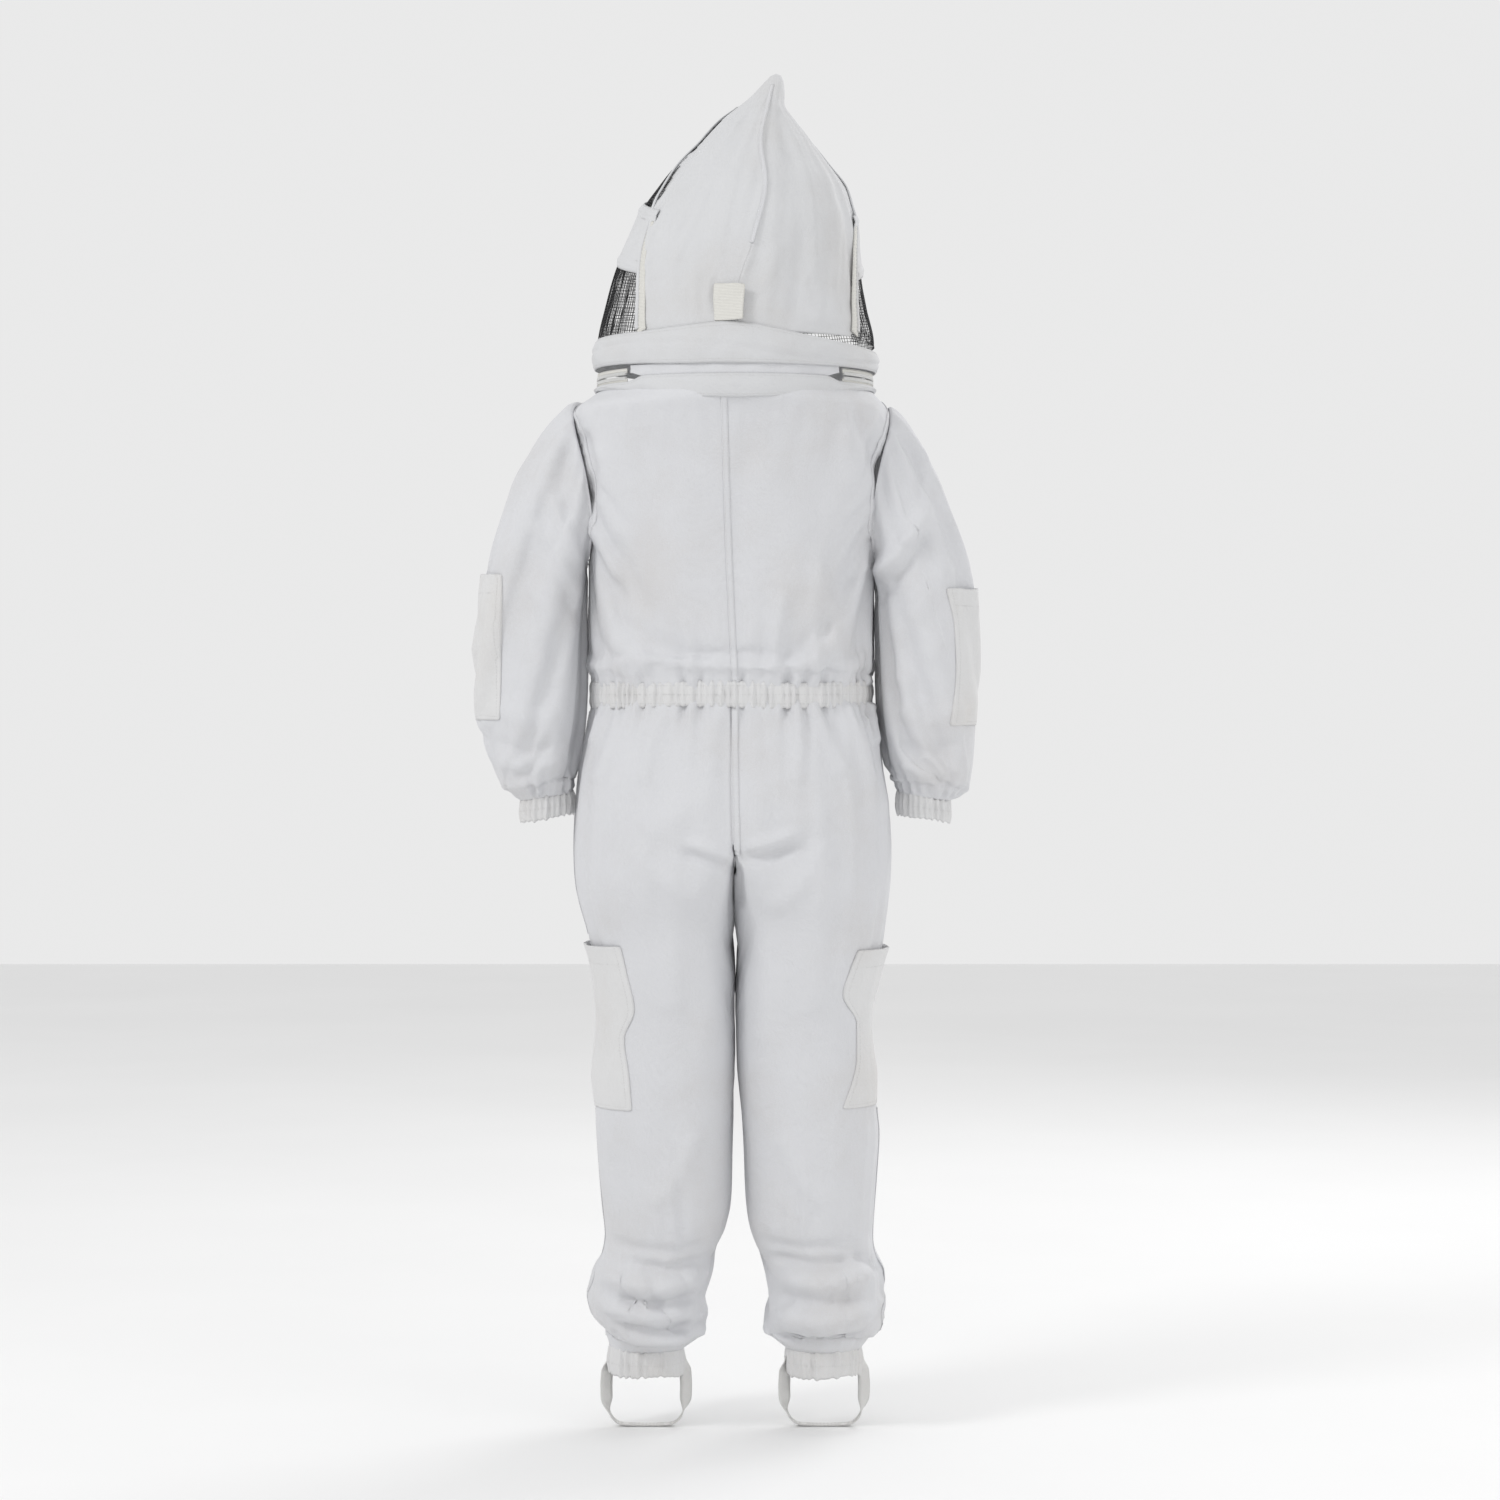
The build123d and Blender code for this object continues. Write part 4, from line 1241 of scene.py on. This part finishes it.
# ---------------------------------------------------------------- collar and ring zip

def ring_place(angle, z, radius=RING_RADIUS):
    return np.array([radius * math.cos(angle), radius * math.sin(angle), z])


def strip_between(name, angles, low, high, spot, rows, wall):
    """Cloth between two heights given by angle; spot gives the point at an angle, at a height
    and at a share of the way up."""
    points = []
    for v in np.linspace(0, 1, rows):
        for angle in angles:
            bottom, top = low(angle), high(angle)
            points.append(spot(angle, bottom + (top - bottom) * v, v))
    closed = abs(angles[-1] - angles[0]) > 2 * math.pi - 0.1
    made = mesh_object(name, points, grid_faces(rows, len(angles), closed))
    thicken(made, wall)
    return made


def ring_strip(name, angles, low, high, offset, rows, wall):
    """Cloth round the ring; offset gives how far out of it the cloth stands."""
    return strip_between(name, angles, low, high, lambda angle, z, v:
                         ring_place(angle, z, RING_RADIUS + offset(angle, v)), rows, wall)


full_turn = np.linspace(0, 2 * math.pi, 361)[:-1]
GUSSET = math.radians(48)
GUSSET_ANGLES = np.linspace(math.pi / 2 - GUSSET, math.pi / 2 + GUSSET, 121)
ZIP_ANGLES = np.linspace(math.pi / 2 + math.radians(50), math.pi * 2.5 - math.radians(50), 400)


def collar_low(angle):
    return 1098 + 15 * abs(math.cos(angle)) ** 1.5 + 1.0 * math.sin(5 * angle)


def sewn(angle):
    """1 where the collar and the hood are sewn together, tapering to 0 where the zip starts."""
    from_back = abs((angle - math.pi / 2 + math.pi) % (2 * math.pi) - math.pi)
    return 1 - smoothstep(GUSSET - 0.16, GUSSET + 0.02, from_back)


def collar_high(angle):
    return 1119.2 + 5.6 * sewn(angle)


def collar_puff(angle, v):
    folds = 0.9 * math.sin(11 * angle + 3 * v) * math.sin(4 * angle)
    return 2.0 + 2.6 * math.sin(math.pi * v) ** 0.8 + folds * math.sin(math.pi * v)


collar = ring_strip("collar_band_cloth", full_turn, collar_low, collar_high, collar_puff, 12, 1.2)
place(collar, "suit", HOOD_CLOTH, "cloth", "collar_band")
gusset = ring_strip("hood_gusset_cloth", GUSSET_ANGLES, lambda a: 1128.5 - 5.2 * sewn(a),
                    lambda a: 1136,
                    lambda a, v: 1.0 + 0.6 * math.sin(23 * a) * math.sin(math.pi * v), 12, 1.0)
place(gusset, None, CLOTH, "cloth", "hood_gusset")
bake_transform(gusset)

collar_skin = Surface(collar)
for name, edge, inset in (("low", collar_low, 3.2), ("high", collar_high, -3)):
    line = []
    for angle in np.r_[full_turn, full_turn[:1]]:
        out = ring_place(angle, 0, 1)
        line.append(collar_skin.from_side(ring_place(angle, edge(angle) + inset),
                                          (-out[0], -out[1], 0)))
    place(stitches("collar_stitching_" + name, line, *SEWING), "suit", THREAD, "cloth")


TOOTH_FACES = ((3, 2, 1, 0), (4, 5, 6, 7), (0, 1, 5, 4), (1, 2, 6, 5), (2, 3, 7, 6), (3, 0, 4, 7))


def teeth(name, places, size):
    """Zip teeth: a tapered head on a foot. places are (place, along, across, out)."""
    length, width, rise = size
    points, faces = [], []
    for spot, along, across, out in places:
        start = len(points)
        for u, v, w in ((-.5, -.5, 0), (.5, -.5, 0), (.5, .5, 0), (-.5, .5, 0),
                        (-.36, -.46, 1), (.36, -.46, 1), (.22, .5, 1), (-.22, .5, 1)):
            points.append(spot + along * u * length + across * v * width + out * (w - 0.35) * rise)
        faces += [tuple(start + i for i in face) for face in TOOTH_FACES]
    made = mesh_object(name, points, faces)
    made.data.polygons.foreach_set("use_smooth", [False] * len(faces))
    return made


def ring_chain(name, edge, upwards, body, node):
    """One side of the ring zip: its tape and its teeth."""
    spots = []
    for angle in ZIP_ANGLES[2:-2]:
        out = ring_place(angle, 0, 1)
        along = np.array([-math.sin(angle), math.cos(angle), 0])
        spots.append((ring_place(angle, edge + upwards * 1.0), along,
                      np.array([0, 0, -upwards]), out))
    made = teeth(name + "_teeth", spots, (1.4, 3.4, 2.6))
    tape = ring_strip(name + "_tape", ZIP_ANGLES, lambda a: edge + (1.6 if upwards > 0 else -6.2),
                      lambda a: edge + (6.2 if upwards > 0 else -1.6), lambda a, v: 0.9, 3, 0.9)
    place(made, body, TEETH, "zip_teeth", node)
    place(tape, body, TAPE, "zip_teeth")


ring_chain("collar_zip", RING_Z - 1.5, -1, "suit", "collar_zip_chain")
ring_chain("hood_zip", RING_Z + 1.5, 1, "hood", "hood_zip_chain")


# ---------------------------------------------------------------- hood

HOOD_SHAPE = profiles(HOOD)
CROWN_SEAM = profile([1130, 1172, 1208, 1260, 1330, 1375, 1420, 1440, 1460],
                     [-2, -2, -3, -18, -32, -27, -34, -40, -45])


def hood_spot(angle, z, lift=0.0):
    """A point of the hood: its section turned about its own middle, lifted along its normal."""
    left, right, front, back, power = [float(f(z)) for f in HOOD_SHAPE]
    cx, cy = (left + right) / 2, (front + back) / 2
    x, y = section(angle, *[left - cx, right - cx, front - cy, back - cy], power)
    dx = x / ((left - right) / 2) ** 2
    dy = y / ((back - front) / 2) ** 2
    size = math.hypot(dx, dy) + 1e-12
    out = np.array([(dx * TURN_COS - dy * TURN_SIN) / size,
                    (dx * TURN_SIN + dy * TURN_COS) / size, 0])
    spot = np.array([cx + x * TURN_COS - y * TURN_SIN, cy + x * TURN_SIN + y * TURN_COS, z])
    return spot + out * lift


def hood_out(angle, z):
    """The hood's outward normal."""
    return hood_spot(angle, z, 1) - hood_spot(angle, z)


def in_hood(point):
    """A point's place across the hood and along it, in the hood's own directions."""
    x, y = point[0], point[1]
    return x * TURN_COS + y * TURN_SIN, -x * TURN_SIN + y * TURN_COS


EDGE_SKEW = 0.085                  # the crown's front edge lies further back on the right
EDGE_Y, EDGE_Z, EDGE_SLOPE = 95, 1150, 0.5


def edge_y(z):
    """How far back the crown's front edge is at a height, in the hood's middle."""
    return EDGE_Y - EDGE_SLOPE * (z - EDGE_Z)


def edge_depth(point):
    """How far back a point is, measured as the crown's edge is."""
    across, back = in_hood(point)
    return back + EDGE_SKEW * across


def brow_low(y):
    return 1238 - 0.2 * (y - 40)


def brow_high(y):
    return 1301 - 0.2 * (y - 40)


def halved(low, high, before):
    """The narrow range in which a test stops holding, between two values."""
    for _ in range(30):
        middle = (low + high) / 2
        if before(middle):
            low = middle
        else:
            high = middle
    return low, high


def seam_angle(z):
    """The section angle where the crown's back seam lies."""
    target = float(CROWN_SEAM(z))
    return sum(halved(math.radians(30), math.radians(150),
                      lambda angle: hood_spot(angle, z)[0] > target)) / 2


CROWN_FOLDS = [
    (2.8, 5, -35, 1420, -26, 1375, -32, 1330, -18, 1260, -3, 1208),
    (2.4, 4.5, 0, 1431, 37, 1399, 62, 1368, 84, 1330, 92, 1260, 92, 1180),
    (-2.2, 5, 12, 1420, 28, 1400, 52, 1372), (1.8, 7, 0, 1408, 16, 1389, 38, 1362),
    (-1.8, 8, -20, 1420, -4, 1380, 10, 1340), (2.2, 5, 40, 1182, 42, 1205, 40, 1240),
    (-2, 4, 22, 1182, 24, 1204, 20, 1230), (2, 9, 62, 1180, 66, 1220, 60, 1300),
    (2.2, 9, -30, 1180, -34, 1215, -50, 1270), (-2, 10, -62, 1176, -66, 1220, -74, 1290),
    (2.4, 9, -88, 1172, -92, 1210, -98, 1260), (2, 12, -58, 1400, -78, 1340, -96, 1280),
    (-1.6, 8, -42, 1420, -52, 1380, -70, 1340), (-1.5, 12, 20, 1330, 30, 1280, 34, 1230)]


def build_crown():
    """The crown's skin, with one column of points along its back seam."""
    heights = np.r_[np.arange(1168, 1400, 4.6), np.arange(1400, 1457, 2.7), 1457]
    columns = 200
    points = []
    for z in heights:
        begin = seam_angle(z)
        for u in range(columns):
            points.append(hood_spot(begin + 2 * math.pi * u / columns, z))
    faces = grid_faces(len(heights), columns, True)
    tip = len(points)
    points.append(np.array(points[-columns:]).mean(axis=0) + (0, 0, 3.0))
    last = (len(heights) - 1) * columns
    faces += [(last + u, last + (u + 1) % columns, tip) for u in range(columns)]
    made = mesh_object("crown", points, faces)
    for number in range(2):
        made.data.materials.append(bpy.data.materials.new(f"crown_region{number}"))
    made.data.polygons.foreach_set(
        "material_index", [0 if f[0] % columns >= columns / 2 else 1 for f in faces])
    return made


def finish_crown():
    skin = build_crown()
    face_outwards(skin)
    points = coordinates(skin)
    pinned = np.maximum(1 - smoothstep(1176, 1190, points[:, 2]),
                        smoothstep(1436, 1448, points[:, 2]))
    wrinkle(skin, pinned, growth=0.04, frames=20, cap=5.0, rounds=30, gain=0.3)
    subdivide(skin, 1)
    points, out = coordinates(skin), normals(skin)
    height = 1.3 * fold_field(points, out, CROWN_FOLDS, 1)
    held = smoothstep(1170, 1180, points[:, 2])
    moved = points + out * (height * held)[:, None]
    notch = np.exp(-((points[:, 2] - 1424) / 10) ** 2) * smoothstep(-44, -54, points[:, 0])
    moved[:, 0] += 4 * notch
    set_coordinates(skin, moved)
    cut(skin, (-EDGE_Y * TURN_SIN, EDGE_Y * TURN_COS, EDGE_Z),
        (EDGE_SKEW * TURN_COS - TURN_SIN, TURN_COS + EDGE_SKEW * TURN_SIN, EDGE_SLOPE))
    face_outwards(skin)
    return split(skin, ("hood_crown_cloth_left", "hood_crown_cloth_right"))


crown, (crown_left, crown_right) = finish_crown()
thicken(crown_left, PANEL_WALL)
thicken(crown_right, PANEL_WALL)
place(crown_left, "hood", HOOD_CLOTH, "cloth", "hood_crown_left")
place(crown_right, "hood", HOOD_CLOTH, "cloth", "hood_crown_right")
felled_seam("crown_back_seam",
            laid(crown, [(-40, 1444), (-35, 1420), (-27, 1375), (-32, 1330), (-18, 1262)],
                 ONTO_BACK), 4.5, 1.1, "hood")


def hood_strip(name, angles, low, high, offset, rows, wall):
    """Cloth on the hood between two heights given by angle."""
    return strip_between(name, angles, low, high, lambda angle, z, v:
                         hood_spot(angle, z, offset(angle, v)), rows, wall)


@cache
def solved(angle, height_of):
    """The height where a sloping line on the hood meets a section angle."""
    z = 1240.0
    for _ in range(12):
        z = float(height_of(in_hood(hood_spot(angle, z))[1]))
    return z


@cache
def edge_angles(z):
    """Section angles of the crown's front edge at a height, on the left and the right."""
    return [halved(math.pi / 2, end, lambda a: edge_depth(hood_spot(a, z)) > edge_y(z))[0]
            for end in (-math.pi / 2, 1.5 * math.pi)]


def base_top(angle):
    x, y = hood_spot(angle, 1172)[:2]
    return (1171 + 8 * math.exp(-(x / 70) ** 2) * (y > 0)
            + 14 * min(0.0, x) / 140 * (0.4 + 0.6 * (y > -60)))


def base_low(angle):
    return 1134.5 + 3.5 * smoothstep(40, 140, hood_spot(angle, 1140)[0])


def base_puff(angle, v):
    folds = (math.sin(9 * angle + 3.5 * v) * math.sin(3 * angle + 1)
             + 0.4 * math.sin(21 * angle - 4 * v))
    pleat = math.exp(-((v - 0.45 - 0.22 * math.sin(2 * angle + 0.6)) / 0.07) ** 2)
    return (2.0 + 3.2 * math.sin(math.pi * v) ** 0.7 + 1.2 * folds * math.sin(math.pi * v)
            - 1.5 * pleat)


base_band = hood_strip("hood_base_band_cloth", full_turn, base_low, base_top, base_puff, 16, 1.2)
place(base_band, "hood", HOOD_CLOTH, "cloth", "hood_base_band")
base_skin = Surface(base_band)
for name, share in (("low", 0.1), ("high", 0.9)):
    line = []
    for angle in np.r_[full_turn, full_turn[:1]]:
        z = base_low(angle) + (base_top(angle) - base_low(angle)) * share
        line.append(base_skin.from_side(hood_spot(angle, z), -hood_out(angle, z)))
    place(stitches("base_band_stitching_" + name, line, *SEWING), "hood", THREAD, "cloth")

left_edge, right_edge = edge_angles(1270)
brow_angles = np.linspace(left_edge + math.radians(3),
                          right_edge - 2 * math.pi - math.radians(3), 260)


def brow_puff(angle, v):
    hoops = 2.0 * (math.exp(-((v - 0.09) / 0.06) ** 2) + math.exp(-((v - 0.91) / 0.06) ** 2))
    folds = 0.8 * math.sin(26 * angle) * math.sin(math.pi * v) + 0.6 * math.sin(11 * angle + 4 * v)
    return 1.2 + hoops + folds


brow = hood_strip("brow_band_cloth", brow_angles, lambda a: solved(a, brow_low) - 2,
                  lambda a: solved(a, brow_high) + 2, brow_puff, 22, 1.0)
face_outwards(brow)
place(brow, "hood", HOOD_CLOTH, "cloth", "brow_band")
for name, height_of, share in (("lower", brow_low, 5), ("upper", brow_high, -5)):
    line = [hood_spot(a, solved(a, height_of) + share, -1.6) for a in brow_angles]
    out = [hood_out(a, 1260) for a in brow_angles]
    strip = ribbon("brow_hoop_" + name + "_strip", list(zip(line, out)), 4.0, 1.2)
    place(strip, "hood", HOOP, "hoop", "brow_hoop_" + name)
    line = [(hood_spot(a, solved(a, height_of) + 2.2 * share, 2.0), n)
            for a, n in zip(brow_angles, out)]
    place(stitches("brow_stitching_" + name, line, 3.4, 2.4, 0.55, 0.5), "hood", THREAD, "cloth")


NET_PITCH = 3.1
NET_THREAD = 0.75


def net(name, angles, rows, point_of, keep, node):
    """A square net: threads along a grid of points, cut back to a region."""
    points = [point_of(angle, v) for v in np.linspace(0, 1, rows) for angle in angles]
    array = np.array(points)
    faces = [f for f in grid_faces(rows, len(angles), False)
             if keep(array[list(f)].mean(axis=0))]
    made = mesh_object(name, points, faces)
    drop_loose(made)
    modifier = made.modifiers.new("threads", "WIREFRAME")
    modifier.thickness = NET_THREAD * MM
    modifier.use_even_offset = False
    modifier.use_boundary = True
    apply_modifiers(made)
    place(made, "hood", NET, "veil_mesh", node)


veil_columns = int(520 / NET_PITCH)
low_left, low_right = edge_angles(1200)
veil_angles = np.linspace(low_left + 0.16, low_right - 2 * math.pi - 0.16, veil_columns)


def veil_spot(angle, v):
    top = solved(angle, brow_low) + 3
    z = 1163 + (top - 1163) * v
    ripple = 1.6 * math.sin(17 * angle) + 0.9 * math.sin(31 * angle + 2)
    return hood_spot(angle, z, ripple * math.sin(math.pi * v) ** 0.5)


net("face_veil_net", veil_angles, int(92 / NET_PITCH), veil_spot,
    lambda c: edge_depth(c) < edge_y(c[2]) + 6, "face_veil")


def dome_spot(angle, v):
    low = solved(angle, brow_high) - 3
    return hood_spot(angle, low + (1446 - low) * v)


dome_angles = np.linspace(left_edge + 0.25, right_edge - 2 * math.pi - 0.25, 110)
net("upper_veil_net", dome_angles, 56, dome_spot,
    lambda c: edge_depth(c) < edge_y(c[2]) + 4, "upper_veil")

TAPE_INSET = 6                     # from the crown's edge to the middle of the side tape

for number, (side, hand) in enumerate(SIDES):
    tape, piping = [], []
    for z in np.arange(1171, 1293, 2.2):
        angle = edge_angles(z)[number]
        step = np.linalg.norm(hood_spot(angle + side * 0.03, z) - hood_spot(angle, z))
        middle = angle + side * 0.03 * TAPE_INSET / max(step, 1e-6)
        tape.append((hood_spot(middle, z, 0.9), hood_out(middle, z)))
    for z in np.arange(1174, 1428, 3.5):
        angle = edge_angles(z)[number]
        piping.append((hood_spot(angle, z, 1.2), hood_out(angle, z)))
    place(ribbon("side_tape_" + hand, tape, 13, 1.1, 0.2, 0.2, ribs=0.7), "hood", TAPE, "tape",
          "hood_side_tape_" + hand)
    place(ribbon("crown_piping_" + hand, piping, 5.5, 1.6, 0.2, 0.5), "hood", HOOD_CLOTH, "cloth")


def tab():
    """A folded strip sewn down at its left, its right side standing off."""
    points = []
    for v in np.linspace(0, 1, 14):
        for u in np.linspace(0, 1, 12):
            x, z = 21 - 29.5 * u, 1219 - 40 * v - 3 * u * (1 - v)
            spot, out = crown.from_side((x, 0, z), ONTO_BACK)
            points.append(spot + out * (1.2 + 7.5 * u ** 2 + 0.8 * math.sin(5 * v + 3 * u)))
    made = mesh_object("hood_tab_strip", points, grid_faces(14, 12, False))
    face_outwards(made)
    subdivide(made, 1)
    thicken(made, 1.4, 0)
    return made


place(tab(), "hood", TAPE, "tape", "hood_tab")


# ---------------------------------------------------------------- front zip

ZIP_SLOPE = 0.06


def zip_y(z):
    return -112 - ZIP_SLOPE * (z - 640)


for side, hand in SIDES:
    across, out = np.array([-side, 0.0, 0.0]), np.array([0, -1.0, 0])
    along = np.array([0, -ZIP_SLOPE, 1.0])
    spots = [(np.array([side * 3.2, zip_y(z + (1.45 if side > 0 else 0)) - 0.4, z]),
              along, across, out) for z in np.arange(642, 1086, 2.9)]
    place(teeth("main_zip_teeth_" + hand, spots, (1.7, 3.6, 2.4)), "suit", TEETH, "zip_teeth",
          "main_zip_chain_" + hand)
    line = [(np.array([side * 11.5, zip_y(z) + 0.6, z]), out) for z in np.arange(638, 1097, 3)]
    place(ribbon("main_zip_tape_cloth_" + hand, line, 15, 0.9, 0, 0.1), "suit", TAPE, "tape",
          "main_zip_tape_" + hand)
    line = [coverall.from_side((side * 17, 0, z), ONTO_FRONT) for z in np.arange(640, 1096, 4)]
    felled_seam("zip_facing_" + hand, line, 9, 0.8)


# ---------------------------------------------------------------- stirrup straps

def stirrup(side, hand):
    """A woven strap from one side of the ankle cuff under the foot to the other."""
    path = [(-41.8, 0, 76), (-42.2, 2, 62), (-43, 4, 45), (-42.5, 5, 28), (-38, 4, 12),
            (-28, 2, 3.2), (-12, 0, 1.5), (0, 0, 1.4), (12, 0, 1.5), (28, 2, 3.2), (38, 4, 12),
            (42.5, 5, 28), (43, 4, 45), (42.2, 2, 62), (41.8, 0, 76)]
    line = rounded_line(path, 2.0)
    points = []
    for i, spot in enumerate(line):
        ahead = line[min(i + 1, len(line) - 1)] - line[max(i - 1, 0)]
        ahead /= np.linalg.norm(ahead)
        twist = math.radians(62) * smoothstep(14, 34, spot[2]) * (1 - smoothstep(58, 74, spot[2]))
        flat = np.array([0, 1.0, 0])
        face = np.cross(ahead, flat)
        turn = twist * (1 if spot[0] < 0 else -1)
        width = flat * math.cos(turn) + face * math.sin(turn)
        out = np.cross(width, ahead)
        for a, b in ((-7, -.7), (-7, .7), (-2.4, .85), (2.4, .85), (7, .7), (7, -.7), (2.4, -.85),
                     (-2.4, -.85)):
            place_ = spot + width * a + out * b * (1.0 if i % 2 else 0.85)
            points.append((side * ANKLE_X + place_[0], place_[1], max(place_[2], 0.05)))
    faces = grid_faces(len(line), 8, True)
    faces += [tuple(range(8)), tuple(range(len(points) - 1, len(points) - 9, -1))]
    made = mesh_object("stirrup_" + hand + "_strap", points, faces)
    face_outwards(made)
    return made


for side, hand in SIDES:
    place(stirrup(side, hand), "stirrup_" + hand, ELASTIC, "elastic", "stirrup_strap_" + hand)


# ---------------------------------------------------------------- carried-over metal parts

for node in ("main_zip_stops", "main_zip_slider", "main_zip_pull", "hood_zip_slider_left",
             "hood_zip_slider_right", "hood_zip_pull_left", "hood_zip_pull_right"):
    for holder in bpy.data.objects[node].material_slots:
        holder.material = METAL


# ---------------------------------------------------------------- studio

def aimed(name, data, location, target):
    """A lamp or camera at a place, looking at a target."""
    made = bpy.data.objects.new(name, data)
    made.location = location
    made.rotation_euler = (Vector(target) - made.location).to_track_quat("-Z", "Y").to_euler()
    bpy.context.scene.collection.objects.link(made)
    return made


def area_light(name, location, target, size, power):
    data = bpy.data.lights.new(name, "AREA")
    data.size = size
    data.energy = power
    aimed(name, data, location, target)


def studio():
    """A plain pale floor, soft light and the camera behind the suit."""
    world = bpy.data.worlds.new("studio")
    world.use_nodes = True
    world.node_tree.nodes["Background"].inputs["Color"].default_value = (1, 1, 1, 1)
    world.node_tree.nodes["Background"].inputs["Strength"].default_value = 0.82
    bpy.context.scene.world = world
    bpy.context.scene.view_settings.view_transform = "Standard"
    bpy.ops.mesh.primitive_plane_add(size=14)
    floor = bpy.context.object
    floor.name = "floor"
    material, tree, surface, spot = shader("pale_floor", (0.86, 0.86, 0.86), 0.7)
    tinted(tree, surface, noise(tree, spot, 1.5), [(0.3, (0.85,) * 3), (0.7, (0.87,) * 3)])
    floor.data.materials.append(material)
    area_light("key", (2.4, 1.9, 2.9), (0, 0, 0.8), 0.9, 34)
    area_light("fill", (-2.4, 2.0, 1.2), (0, 0, 0.6), 1.8, 11)
    area_light("rim", (-1.6, -2.2, 2.6), (0, 0, 1.0), 1.6, 30)
    camera = aimed("camera", bpy.data.cameras.new("camera"), (-0.016, 4.22, 0.80),
                   (-0.016, 0.05, 0.731))
    camera.data.lens = 94
    camera.data.sensor_width = 36
    bpy.context.scene.camera = camera


studio()
